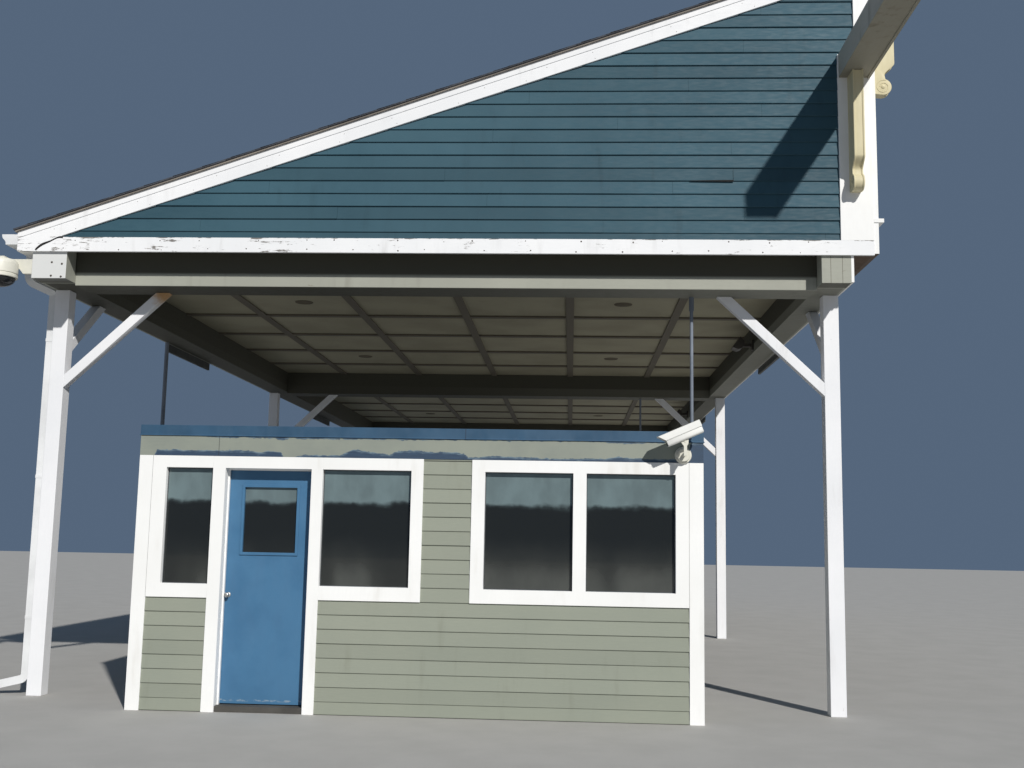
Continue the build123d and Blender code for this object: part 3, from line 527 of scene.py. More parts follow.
@dataclass(frozen=True)
class PaintedWood(Finish):
    """
    Paint on boards: broad fading, fine grain along the board, streaks of dirt that run down,
    spots where the paint has come off, and a slightly different tone for each course of boards.
    Below the height `foot`, where it is given, the paint is another.
    """

    paint: Colour
    faded: Colour
    dirt: Colour
    bare: Colour = (0.25, 0.22, 0.2)
    along: Axis = Axis.X
    dirt_amount: float = 0.3
    bare_amount: float = 0.0
    course: float = 0.0
    course_start: float = 0.0
    course_tone: float = 0.0
    foot: float = 0.0
    foot_paint: Colour = (0.1, 0.1, 0.1)
    roughness: float = 0.5
    sheen: float = 0.2
    grain_depth: float = 0.0006

    def over(self, graph: Graph, colour: Value) -> Value:
        """What lies over the paint's colour. Plain painted wood has nothing more."""
        return colour

    def drawn_out(self, across: float) -> Point:
        """The stretch that draws a pattern out along the board."""
        return tuple(1.0 if axis is self.along else across for axis in Axis)

    def fill(self, graph: Graph) -> None:
        """
        Makes the nodes from broad to fine.

        Args:
            graph: The material's nodes.
        """
        mix, noise = graph.mix, graph.noise
        colour = mix(noise(1.1, 5).rise(0.3, 0.72), self.paint, self.faded)
        fine = noise(0.09, 5, self.drawn_out(5.0))
        colour = mix(fine.rise(0.25, 0.8, 0.0, 0.35), colour, self.faded)
        if self.course:
            count = ((graph.z - self.course_start) / self.course).math("FLOOR")
            tone = graph.node("TexWhiteNoise", {"W": count}, "Value", noise_dimensions="1D")
            level = tone.rise(0.0, 1.0, 1.0 - self.course_tone, 1.0 + self.course_tone * 0.5)
            grey = graph.node("CombineColor", {0: level, 1: level, 2: level})
            colour = mix(1.0, colour, grey, "MULTIPLY")
        if self.foot:
            colour = mix(graph.z.fall(self.foot, self.foot + 0.001), colour, self.foot_paint)
        streaks = noise(0.10, 4, (1.0, 1.0, 0.16)).rise(0.5, 0.78) * noise(0.6, 3).rise(0.4, 0.7)
        colour = mix(streaks * self.dirt_amount, colour, self.dirt)
        grain = height = noise(0.11, 6, self.drawn_out(14.0), 0.6)
        if self.bare_amount:
            spot = noise(0.16, 8, self.drawn_out(3.2), 0.68)
            worn = spot.rise(0.69 - 0.16 * self.bare_amount, 0.72 - 0.13 * self.bare_amount)
            lost = worn * noise(0.9, 2).rise(0.3, 0.62)
            wood = mix(grain.rise(0.35, 0.65), self.bare, lighter(self.bare, 1.5))
            colour = mix(lost, colour, wood)
            height = grain - lost * 0.8
        gloss = fine.rise(0.2, 0.8, self.roughness - 0.08, self.roughness + 0.14)
        graph.coat(self.over(graph, colour), gloss, height, self.grain_depth, self.sheen)


@dataclass(frozen=True)
class BeamPaint(PaintedWood):
    """
    Paint on the beams: grey paint outside, painted shade under the roof, on the front ends'
    undersides and along the front beam's head where the frieze's shadow falls, and near-white
    paint on the left beam's end.
    """

    end_paint: Colour = srgb(212, 213, 212)
    # Colour of the painted shade on the beams.
    painted_shade_colour: Colour = srgb(76, 75, 66)
    end_right: float = -3.307
    end_back: float = -0.50
    inner_left: float = -3.600
    inner_right: float = 3.745
    front_beam: float = -0.365
    shaded_from: float = 3.862
    underside: float = 3.7815
    second_row: float = 7.4
    end_seams: tuple = (3.588, 3.690)

    def over(self, graph: Graph, colour: Value) -> Value:
        """
        Adds the end's paint, its seams and the painted shade.

        Args:
            graph: The material's nodes.
            colour: The paint's colour.

        Returns:
            The colour with them.
        """
        x, y, z, mix, front = graph.x, graph.y, graph.z, graph.mix, self.front_beam
        end = x.fall(self.end_right, self.end_right + 0.002) \
            * y.fall(self.end_back, self.end_back + 0.08)
        colour = mix(end, colour, self.end_paint)
        for seam in self.end_seams:
            line = x.near(seam, 0.0035) * y.fall(front - 0.2, front - 0.19)
            colour = mix(line * 0.75, colour, self.dirt)
        # Painted shade: on the faces under the roof, the undersides of the front ends, and the
        # front beam's head where the frieze's shadow falls.
        inside = x.rise(self.inner_left, self.inner_left + 0.004) \
            * x.fall(self.inner_right - 0.004, self.inner_right)
        under = inside * y.rise(front + 0.006, front + 0.012) * x.rise(-1.5, 3.4, 0.95, 0.45)
        strip = z.rise(self.shaded_from, self.shaded_from + 0.03) \
            * y.rise(front - 0.02, front - 0.01)
        ends = z.fall(self.underside - 0.001, self.underside, 0.8) \
            * y.fall(front - 0.02, front - 0.01)
        painted_shade_amount = under.math("MAXIMUM", ends).math("MAXIMUM", strip * inside)
        colour = mix(painted_shade_amount, colour, self.painted_shade_colour)
        # More painted shade from the second row back, deep under the canopy.
        shade = y.rise(self.second_row, self.second_row + 0.05, 0.0, 0.6)
        return mix(shade, colour, self.painted_shade_colour)


@dataclass(frozen=True)
class PeelingTrim(PaintedWood):
    """
    White boards that peel: long flakes are gone along the frieze, most of them at its left end,
    and a few along the rake. Bare wood shows where noise stretched along X is over a limit that
    falls with the place's share of peeling.
    """

    flake: Colour = srgb(112, 107, 102)
    frieze_top: float = 4.162
    limit: float = 0.77

    def over(self, graph: Graph, colour: Value) -> Value:
        """
        Adds the flakes that are gone, with thin grey edges of lifted paint round them.

        Args:
            graph: The material's nodes.
            colour: The paint's colour.

        Returns:
            The colour with them.
        """
        flakes = graph.noise(0.052, 6, (0.40, 1.0, 1.9), 0.7)
        share = graph.noise(0.35, 3).rise(0.30, 0.62, 0.35) * graph.x.rise(-3.2, 1.8, 1.0, 0.62) \
            * graph.z.rise(self.frieze_top, self.frieze_top + 0.004, 1.0, 0.30)
        rim = graph.z.near(self.frieze_top, 0.012) * 0.10
        over = flakes - (self.limit - share * 0.225 - rim)
        colour = graph.mix(over.rise(-0.045, 0.0, 0.0, 0.28), colour, self.flake)
        return graph.mix(over.rise(0.0, 0.02, 0.0, 0.9), colour, self.flake)


@dataclass(frozen=True)
class StainedPaint(PaintedWood):
    """Paint with one rusty stain round a point, ragged at its edge."""

    stain: Colour = srgb(190, 138, 58)
    stain_at: Point = (-2.53, -0.06, 3.745)
    size: float = 0.15

    def over(self, graph: Graph, colour: Value) -> Value:
        """
        Adds the stain.

        Args:
            graph: The material's nodes.
            colour: The paint's colour.

        Returns:
            The colour with it.
        """
        away = graph.node("VectorMath", {0: graph.where, 1: self.stain_at}, "Value",
                          operation="DISTANCE")
        ragged = away + graph.noise(0.05, 4) * (self.size * 0.9)
        return graph.mix(ragged.fall(self.size * 0.8, self.size * 1.7, 0.85), colour, self.stain)


@dataclass(frozen=True)
class BandedFascia(Finish):
    """
    Green-grey paint brushed over blue: ragged blue bands stay along the board's foot and head.
    The bands' heights are curves along X, roughened with noise, and blue is what lies outside
    them. A curve is pairs of place along the board from 0 to 1 and height in metres.
    """

    green: Colour = srgb(130, 136, 128)
    green_faded: Colour = srgb(142, 147, 136)
    blue: Colour = srgb(42, 62, 84)
    smear: Colour = srgb(112, 132, 144)
    joint: Colour = (0.02, 0.02, 0.02)
    low: float = 2.170
    high: float = 2.345
    left: float = -2.45
    right: float = 2.45
    seam: float = -1.75
    curve_scale: float = 5.0
    foot_band: tuple = (
        (0.0, -0.03), (0.024, -0.03), (0.03, 0.05), (0.12, 0.05), (0.155, 0.052), (0.2, 0.05),
        (0.215, 0.034), (0.235, 0.052), (0.255, 0.046), (0.262, -0.02), (0.28, 0.0),
        (0.3, 0.022), (0.36, 0.018), (0.372, 0.046), (0.385, 0.08), (0.4, 0.062),
        (0.425, 0.044), (0.45, 0.036), (0.458, 0.06), (0.49, 0.074), (0.53, 0.06),
        (0.56, 0.062), (0.584, 0.048), (0.59, 0.022), (0.62, 0.026), (0.64, 0.036),
        (0.68, 0.026), (0.75, 0.022), (0.83, 0.026), (0.85, 0.046), (0.88, 0.03), (0.97, 0.03),
        (0.98, 0.2), (1.0, 0.2))
    head_band: tuple = (
        (0.0, -0.02), (0.1, -0.015), (0.115, 0.004), (0.14, 0.016), (0.2, 0.01), (0.24, 0.012),
        (0.258, 0.034), (0.27, 0.012), (0.34, 0.016), (0.42, 0.01), (0.5, 0.012), (0.6, 0.006),
        (0.7, 0.008), (0.8, 0.006), (0.86, 0.02), (0.93, 0.008), (1.0, 0.0))

    def band(self, graph: Graph, points: Sequence) -> Value:
        """
        A band's height, read from its curve and roughened.

        Args:
            graph: The material's nodes.
            points: The curve's points.

        Returns:
            The height in metres.
        """
        along = (graph.x - self.left) / (self.right - self.left)
        made = graph.node("FloatCurve", {"Factor": 1.0, "Value": along})
        mapping = made.socket.node.mapping
        line = mapping.curves[0].points
        for place, height in points[1:-1]:
            line.new(place, height * self.curve_scale)
        for end in (0, -1):
            line[end].location = (points[end][0], points[end][1] * self.curve_scale)
        for point in line:
            point.handle_type = "VECTOR"
        mapping.update()
        ragged = (graph.noise(0.05, 5, (1, 1, 1.6), 0.6) - 0.5) * 0.045
        return made / self.curve_scale + ragged

    def fill(self, graph: Graph) -> None:
        """
        Makes the nodes.

        Args:
            graph: The material's nodes.
        """
        mix = graph.mix
        foot = self.band(graph, self.foot_band) - (graph.z - self.low)
        head = self.band(graph, self.head_band) - (self.high - graph.z)
        worn = foot.rise(-0.0015, 0.0015).math("MAXIMUM", head.rise(-0.0015, 0.0015))
        brush = graph.noise(0.12, 6, (1, 1, 9), 0.62)
        green = mix(graph.noise(0.45, 5).rise(0.3, 0.7), self.green, self.green_faded)
        green = mix(brush.rise(0.3, 0.75, 0.0, 0.4), green, self.green_faded)
        blue = mix(brush.rise(0.3, 0.75), self.blue, lighter(self.blue, 1.35))
        edge = abs(foot).math("MINIMUM", abs(head))
        thin = edge.fall(0.002, 0.022) * brush.rise(0.42, 0.58, 0.15, 0.9)
        colour = mix(worn, green, mix(thin, blue, self.smear))
        colour = mix(graph.x.near(self.seam, 0.003) * 0.85, colour, self.joint)
        graph.coat(colour, brush.rise(0.2, 0.8, 0.5, 0.75), brush * 0.4 + worn, 0.0012)


@dataclass(frozen=True)
class Enamel(Finish):
    """Smooth paint on metal or plastic: faint mottling, fine dust, waviness and dull scuffs."""

    paint: Colour
    tired: Colour
    roughness: float = 0.38
    scuff: Optional[Colour] = None
    scuff_amount: float = 0.6
    scuff_low: float = 0.075
    scuff_high: float = 0.098
    wave_depth: float = 0.0015
    sheen: float = 0.5
    seam: Optional[float] = None
    joint: Colour = (0.01, 0.015, 0.03)

    def fill(self, graph: Graph) -> None:
        """
        Makes the nodes.

        Args:
            graph: The material's nodes.
        """
        mix, noise = graph.mix, graph.noise
        smear = noise(0.08, 5, (1.0, 1.0, 0.35), 0.6)
        colour = mix(noise(0.35, 6, roughness=0.6).rise(0.36, 0.68), self.paint, self.tired)
        colour = mix(smear.rise(0.45, 0.8, 0.0, 0.4), colour, self.tired)
        if self.scuff:
            line = graph.z.rise(self.scuff_low, self.scuff_low + 0.006) \
                * graph.z.fall(self.scuff_high - 0.006, self.scuff_high)
            chips = line * noise(0.03, 6, (0.5, 1, 1.6), 0.7).rise(0.52, 0.6)
            colour = mix(chips * self.scuff_amount, colour, self.scuff)
        if self.seam is not None:
            colour = mix(graph.x.near(self.seam, 0.004) * 0.8, colour, self.joint)
        gloss = smear.rise(0.2, 0.8, self.roughness - 0.06, self.roughness + 0.14)
        graph.coat(colour, gloss, noise(0.5, 3), self.wave_depth, self.sheen)


@dataclass(frozen=True)
class WindowGlass(Finish):
    """
    Tinted window glass with a film: a pale bluish painted reflection of the sky over the head of
    the pane, with a ragged lower edge, nearly clean dark glass below it and thin dust at the foot.
    """

    tint: Colour = (0.10, 0.11, 0.11)
    # Colour of the painted reflection of the sky over the head of the pane.
    painted_reflection: Colour = srgb(120, 138, 141)
    dark: Colour = srgb(58, 62, 62)
    dust: Colour = srgb(102, 105, 101)
    reflection: Colour = (0.9, 0.95, 1.0)
    painted_reflection_low: float = 1.81
    painted_reflection_high: float = 1.87
    dust_low: float = 1.20
    dust_high: float = 1.60
    least_film: float = 0.34

    def fill(self, graph: Graph) -> None:
        """
        Mixes clear tinted glass, its film and its gloss.

        Args:
            graph: The material's nodes.
        """
        mix, noise = graph.mix, graph.noise
        height = graph.z + noise(0.17, 4) * 0.12
        # The pale band over the head of the pane is a painted reflection of the sky.
        head = height.rise(self.painted_reflection_low, self.painted_reflection_high)
        patch = noise(0.8, 2, (1.0, 1.0, 0.35)).rise(0.40, 0.60, 0.25)
        foot = height.fall(self.dust_low, self.dust_high) * patch
        colour = mix(head, mix(foot, self.dark, self.dust), self.painted_reflection)
        wiped = noise(0.22, 5, (1, 1, 0.5)).rise(0.35, 0.7, 0.0, 0.3)
        graph.coat(mix(wiped, colour, self.dark), 0.08)
        share = (head * 0.82).math("MAXIMUM", foot * 0.5).math("MAXIMUM", self.least_film)
        clear = graph.node("BsdfTransparent", {"Color": self.tint})
        both = graph.node("MixShader", {0: share, 1: clear, 2: graph.paint})
        gloss = graph.node("BsdfGlossy", {"Color": self.reflection, "Roughness": 0.03})
        edge = graph.node("Fresnel", {"IOR": 1.42}) * 0.8
        graph.feed(graph.output, graph.node("MixShader", {0: edge, 1: both, 2: gloss}))


@dataclass(frozen=True)
class Shingle(Finish):
    """Gritty roof shingles: each tab has its own tone, with grains and darker weather stains."""

    dark: Colour = srgb(42, 44, 50)
    light: Colour = srgb(64, 67, 74)
    course: float = 0.1325
    tab: float = 0.3048

    def fill(self, graph: Graph) -> None:
        """
        Makes the nodes.

        Args:
            graph: The material's nodes.
        """
        mix, noise = graph.mix, graph.noise
        cell = graph.node("CombineXYZ", {0: (graph.x / self.course).math("FLOOR"),
                                         1: (graph.y / (self.tab / 2)).math("FLOOR")})
        tone = graph.node("TexWhiteNoise", {0: cell}, "Value", noise_dimensions="3D")
        grit = noise(0.006, 3)
        colour = mix(tone.rise(0.0, 1.0), self.dark, self.light)
        colour = mix(grit.rise(0.5, 0.72, 0.0, 0.7), colour, lighter(self.light, 2.4))
        stain = noise(1.8, 4, (0.35, 1, 1)).rise(0.52, 0.72, 0.0, 0.6)
        graph.coat(mix(stain, colour, self.dark), grit.rise(0.3, 0.7, 0.8, 0.96), grit, 0.0012)


@dataclass(frozen=True)
class BrushedMetal(Finish):
    """Satin metal with fine scratches and duller patches."""

    metal: Colour = (0.6, 0.6, 0.58)
    tarnish: Colour = (0.35, 0.33, 0.3)
    roughness: float = 0.32

    def fill(self, graph: Graph) -> None:
        """
        Makes the nodes.

        Args:
            graph: The material's nodes.
        """
        dull = graph.noise(0.03, 4)
        graph.coat(graph.mix(dull.rise(0.4, 0.8), self.metal, self.tarnish),
                   dull.rise(0.2, 0.8, self.roughness, self.roughness + 0.2),
                   graph.noise(0.004, 2, (1, 1, 12)), 0.0001, metallic=1.0)


@dataclass(frozen=True)
class Mineral(Finish):
    """Concrete, felt and sheet goods: mottled, grainy and dull, with darker traffic marks."""

    light: Colour
    dark: Colour
    grain: float = 0.004
    roughness: float = 0.88
    depth: float = 0.001

    def fill(self, graph: Graph) -> None:
        """
        Makes the nodes.

        Args:
            graph: The material's nodes.
        """
        patch = graph.noise(0.5, 6, roughness=0.6)
        grain = graph.noise(self.grain, 3)
        colour = graph.mix(patch.rise(0.32, 0.7), self.light, self.dark)
        graph.coat(graph.mix(grain.rise(0.45, 0.75, 0.0, 0.35), colour, self.dark),
                   grain.rise(0.2, 0.8, self.roughness - 0.1, self.roughness + 0.06),
                   grain + patch, self.depth)


@dataclass(frozen=True)
class Ceiling(Finish):
    """Ceiling paint: patchy over the sheets, finely streaked on the battens below them."""

    paint: Colour
    worn: Colour
    batten: bool = False

    def fill(self, graph: Graph) -> None:
        """
        Makes the nodes.

        Args:
            graph: The material's nodes.
        """
        fine = graph.noise(0.05, 4, (6, 1, 1))
        if self.batten:
            colour = graph.mix(fine.rise(0.3, 0.8, 0.0, 0.6), self.paint,
                               lighter(self.paint, 1.5))
        else:
            colour = graph.mix(graph.noise(0.8, 5).rise(0.35, 0.68), self.paint, self.worn)
        stain = graph.noise(0.35, 4).rise(0.62, 0.8, 0.0, 0.4)
        graph.coat(graph.mix(stain, colour, lighter(self.worn, 0.7)),
                   fine.rise(0.2, 0.8, 0.7, 0.9), fine, 0.0006)


# A paint is given fresh, faded and dirty; a metal or a mineral bright and dull.
BROWN_UNDERSIDE = srgb(92, 74, 60)
SAGE = PaintedWood("sage_lap_paint", srgb(147, 151, 138), srgb(141, 146, 134),
                   srgb(112, 112, 98), course=0.1205, course_start=-0.012, course_tone=0.05,
                   roughness=0.6)
TEAL = PaintedWood("teal_lap_paint", srgb(50, 80, 93), srgb(60, 91, 104), srgb(34, 54, 62),
                   dirt_amount=0.45, course=0.1206, course_start=4.222, course_tone=0.16,
                   roughness=0.55)
TEAL_WALL = replace(TEAL, name="teal_wall_and_soffit", dirt_amount=0.3, course=0.0,
                    foot=4.0405, foot_paint=BROWN_UNDERSIDE, roughness=0.62)
WHITE = PaintedWood("white_trim_paint", srgb(244, 244, 243), srgb(236, 236, 234),
                    srgb(190, 184, 172), along=Axis.Z)
BOARD_WHITE = replace(WHITE, name="white_front_boards", faded=srgb(234, 234, 232),
                      dirt=srgb(170, 162, 150), dirt_amount=0.35, foot=4.0405,
                      foot_paint=BROWN_UNDERSIDE)
WHITE_PEELING = PeelingTrim("peeling_white_paint", srgb(242, 242, 243), srgb(230, 231, 233),
                            srgb(120, 114, 108), dirt_amount=0.25, roughness=0.55)
POST_WHITE = PaintedWood("white_post_paint", srgb(240, 240, 242), srgb(228, 229, 232),
                         srgb(160, 154, 144), bare=srgb(150, 140, 128), along=Axis.Z,
                         dirt_amount=0.35, bare_amount=0.12)
BRACE_WHITE = StainedPaint("white_brace_paint", srgb(240, 240, 242), srgb(226, 227, 230),
                           srgb(160, 154, 144), along=Axis.Z, dirt_amount=0.35)
# The darker paint below z = 5.662, on the outriggers' undersides, is painted shade; the brown
# streaks are dirt.
OUTRIGGER_WHITE = PaintedWood("stained_outrigger_paint_with_painted_shade", srgb(196, 194, 186),
                              srgb(178, 174, 163), srgb(92, 80, 62), along=Axis.Y,
                              dirt_amount=0.8, roughness=0.6, foot=5.662,
                              foot_paint=srgb(150, 146, 132))
BEAM_GREY = BeamPaint("grey_beam_paint", srgb(166, 167, 156), srgb(156, 157, 147),
                      srgb(92, 88, 78), bare=srgb(112, 104, 92), bare_amount=0.1, roughness=0.6)
CREAM = PaintedWood("cream_console_paint", srgb(212, 203, 169), srgb(202, 192, 158),
                    srgb(150, 140, 112), along=Axis.Z, grain_depth=0.0003)
DOOR_BLUE = Enamel("door_blue_paint", srgb(68, 114, 150), srgb(61, 106, 142), 0.46,
                   scuff=srgb(160, 172, 180))
EDGE_BLUE = Enamel("blue_roof_edge", srgb(44, 76, 102), srgb(53, 86, 113), 0.42,
                   wave_depth=0.004, seam=0.41)
FASCIA = BandedFascia("brushed_over_fascia")
GLASS = WindowGlass("dusty_glass_with_painted_reflection")
STEEL = BrushedMetal("satin_steel")
BOLT = BrushedMetal("weathered_bolt", srgb(120, 112, 104), srgb(84, 74, 66), 0.5)
NAIL = BrushedMetal("rusty_nail_head", srgb(84, 72, 62), srgb(58, 48, 42), 0.6)
SHINGLE = Shingle("charcoal_shingles")
DECK_EDGE = Mineral("weathered_deck_edge", srgb(150, 142, 132), srgb(110, 104, 98))
# Dark grey booth floor: painted shade, standing in for the shadow at the foot of the doorway.
DOORWAY_SHADED_FLOOR = Mineral("grey_floor_with_painted_shade", srgb(84, 82, 78), srgb(60, 58, 55))
ROOFING = Mineral("dull_roofing", srgb(90, 88, 84), srgb(66, 65, 62), grain=0.006)
SEAM = Mineral("grey_board_seam", srgb(138, 138, 136), srgb(112, 112, 110), depth=0.0002)
# Near-black painted shade for the insides of open gaps.
GAP_SHADE = Mineral("painted_shade_in_gaps", srgb(24, 22, 22), srgb(13, 12, 12), depth=0.0002)
STUDIO_FLOOR = Mineral("pale_floor", srgb(176, 174, 170), srgb(170, 168, 164), roughness=0.9)
GUTTER = Enamel("white_gutter_enamel", srgb(232, 233, 234), srgb(218, 219, 220), 0.35)
CAMERA_WHITE = Enamel("off_white_case", srgb(236, 236, 232), srgb(226, 226, 222), 0.35)
DOME_WHITE = Enamel("dome_case", srgb(222, 220, 208), srgb(208, 206, 194), 0.4)
DARK_PLASTIC = Enamel("dark_smoked_plastic", srgb(26, 27, 30), srgb(34, 35, 38), 0.12,
                      wave_depth=0.0002)
BRONZE = Enamel("bronze_enamel", srgb(56, 52, 48), srgb(68, 63, 58), 0.5)
CONDUIT = Enamel("dull_grey_conduit", srgb(128, 136, 148), srgb(106, 114, 126), 0.5)
BOARD = Enamel("blank_lane_board", srgb(64, 66, 64), srgb(76, 78, 74), 0.55)
# The lens's darker tone is painted shade, standing in for the shaded recess of each ceiling light;
# the floodlight lenses share it.
LAMP = Enamel("dark_lamp_lens", srgb(122, 116, 104), srgb(104, 98, 87), 0.6, sheen=0.0)
GASKET = Enamel("window_gasket", srgb(58, 62, 66), srgb(72, 76, 80), 0.6, wave_depth=0.0003)
CEILING_SHEET = Ceiling("ceiling_sheets", srgb(162, 157, 134), srgb(148, 143, 121))
CEILING_BATTEN = Ceiling("ceiling_battens", srgb(98, 92, 80), srgb(96, 88, 76), batten=True)


# --- The booth ---


@dataclass
class LapWall:
    """
    Lap siding on one flat wall. A board is a wedge: its foot stands proud by `foot` and its head
    lies nearly on the wall, `head` proud, under the next board's foot. Along its length each
    board wanders by a few tenths of a millimetre: out(s) = foot + wander * sin(k s + phase).
    `lip` is how far the slanted lower edge goes out and up; boards under `smallest` are left out.
    """

    surface: Surface
    side: Side
    face: float
    seed: int
    exposure: float = 0.1205
    foot: float = 0.014
    head: float = 0.003
    overlap: float = 0.012
    wander: float = 0.0007
    stations: int = 7
    joint_gap: float = 0.0012
    lip: tuple = (0.0025, 0.003)
    unevenness: float = 0.0012
    smallest: tuple = (0.01, 0.006)
    stagger: float = 0.382

    def rows(self, low: float, high: float, start: float) -> tuple[np.ndarray, np.ndarray]:
        """
        The feet and heads of the courses between two heights.

        Args:
            low: Lowest height that is covered.
            high: Highest height that is covered.
            start: A height that a course's foot lies at.

        Returns:
            Two arrays of heights.
        """
        first = math.floor((low - start) / self.exposure + 1e-6)
        last = math.ceil((high - start) / self.exposure - 1e-6)
        feet = start + np.arange(first, last) * self.exposure
        return np.clip(feet, low, high), np.clip(feet + self.exposure + self.overlap, low, high)

    def lay(self, left: np.ndarray, right: np.ndarray, feet: np.ndarray,
            heads: np.ndarray) -> None:
        """
        Adds one board for each entry of the arrays.

        Args:
            left: Where each board starts along the wall.
            right: Where it ends.
            feet: The height of its foot.
            heads: The height of its head.
        """
        random = np.random.default_rng(self.seed)
        shortest, lowest = self.smallest
        keep = (right - left > shortest) & (heads - feet > lowest)
        left, right, feet, heads = (v[keep][:, None] for v in (left, right, feet, heads))
        along = left[..., None] + np.linspace(0, 1, self.stations)[:, None] \
            * (right - left)[..., None]
        phase = random.uniform(0, 2 * np.pi, (len(left), 1, 1))
        swing = self.wander * (np.sin(along * 2.1 + phase) + 0.6 * np.sin(along * 5.3 + 2 * phase))
        full = np.minimum((heads - feet) / (self.exposure + self.overlap), 1.0)[:, None]
        foot_out = self.foot + random.uniform(
            -self.unevenness, self.unevenness, (len(left), 1))[:, None]
        head_out = foot_out + (self.head - foot_out) * full
        zero = np.zeros_like(foot_out)
        lip_out, lip_up = self.lip
        out = np.concatenate([zero, foot_out - lip_out, foot_out, head_out, zero], -1) \
            + swing * np.array([0, 1, 1, 0.3, 0])
        z = np.stack([feet, feet, feet + lip_up, heads, heads], -1) \
            + swing * np.array([0.5, 0.5, 0.5, 0, 0])
        along = np.broadcast_to(along, out.shape)
        axis, sign = self.side.value
        place = self.face + sign * out
        triple = (place, along, z) if axis is Axis.X else (along, place, z)
        self.surface.bars(np.stack(triple, -1))

    def panel(self, left: float, right: float, low: float, high: float, start: float,
              joints: float = 0.0) -> None:
        """
        Covers a rectangle.

        Args:
            left: Where the boards start along the wall.
            right: Where they end.
            low: Lowest height.
            high: Highest height.
            start: A height that a course's foot lies at.
            joints: Usual length of a board, 0 for boards in one piece.
        """
        feet, heads = self.rows(low, high, start)
        lefts, rights = np.full(len(feet), left), np.full(len(feet), right)
        if joints:
            self.split(lefts, rights, feet, heads, joints)
        else:
            self.lay(lefts, rights, feet, heads)

    def split(self, lefts: np.ndarray, rights: np.ndarray, feet: np.ndarray, heads: np.ndarray,
              joints: float) -> None:
        """
        Lays courses whose boards are butted at staggered joints.

        Args:
            lefts: Where each course starts.
            rights: Where it ends.
            feet: The height of its foot.
            heads: The height of its head.
            joints: Usual length of a board.
        """
        random = np.random.default_rng(self.seed + 11)
        course = np.arange(len(feet))
        offset = (course * self.stagger % 1.0 + random.uniform(-0.1, 0.1, len(feet))) * joints
        origin = float(np.min(lefts))
        pieces = math.ceil((float(np.max(rights)) - origin) / joints) + 2
        cut = origin + offset[:, None] + (np.arange(pieces + 1) - 1) * joints
        start = np.maximum(cut[:, :-1], lefts[:, None]) + self.joint_gap / 2
        end = np.minimum(cut[:, 1:], rights[:, None]) - self.joint_gap / 2
        self.lay(start.ravel(), end.ravel(), np.repeat(feet, pieces), np.repeat(heads, pieces))


@dataclass
class BoothShell:
    """The booth's walls: lap siding round all four sides, corner boards, casings and floor."""

    half_length: float = 2.45
    half_depth: float = 0.715
    trim: float = 0.020
    corner: float = 0.122
    sill: float = 0.952
    top: float = 2.170
    floor_gap: float = 0.004
    course_start: float = -0.012
    door_trim: tuple = (-1.793, -0.825)
    pier: tuple = (0.052, 0.472)
    rear_casing: float = -0.930
    end_casing: float = 0.415
    board: float = 2.9
    seam: float = 0.0012
    seam_depths: tuple = (-0.001, 0.0004)

    def seams(self) -> None:
        """Adds the thin open seams where casings meet corner boards, on the long sides."""
        inner = self.half_length - self.corner
        back, front = (self.half_depth + depth for depth in self.seam_depths)
        Surface().blocks([
            ((x - self.seam, sign * back, self.sill), (x + self.seam, sign * front, self.top))
            for sign in (-1, 1) for x in (-inner, inner)
        ]).build("casing_seams", SEAM, "white_trim")

    def siding(self) -> None:
        """Adds the lap boards of the four walls, between the trim boards."""
        surface, start = Surface(), self.course_start
        inner, depth = self.half_length - self.corner, self.half_depth - self.corner
        lower, upper = (self.floor_gap, self.sill, start), (self.sill, self.top, start)
        front = LapWall(surface, Side.FRONT, self.trim - self.half_depth, 3)
        front.panel(-inner, self.door_trim[0], *lower)
        front.panel(self.door_trim[1], inner, *lower)
        front.panel(*self.pier, *upper)
        back = LapWall(surface, Side.BACK, self.half_depth - self.trim, 5)
        back.panel(-inner, inner, *lower, joints=self.board)
        back.panel(-inner, self.rear_casing, *upper)
        back.panel(*self.pier, *upper)
        for side, sign, seed in ((Side.LEFT, -1, 6), (Side.RIGHT, 1, 8)):
            end = LapWall(surface, side, sign * (self.half_length - self.trim), seed)
            end.panel(-depth, depth, *lower)
            end.panel(-depth, -self.end_casing, *upper)
            end.panel(self.end_casing, depth, *upper)
        surface.build("booth_lap_boards", SAGE, "booth_siding")

    def make(self) -> None:
        """Builds the siding and dresses the walls, the trim and the floor."""
        self.siding()
        self.seams()
        dress(SAGE, "front_wall_left", "front_wall_over_door", "front_wall_right", "back_wall",
              "end_walls")
        dress(WHITE, "booth_corner_boards", "window_casings", "door_casing", bevel=0.002)
        dress(WHITE, "window_jambs", "door_frame")
        dress(DOORWAY_SHADED_FLOOR, "booth_floor")
        dress(ROOFING, "booth_roof")


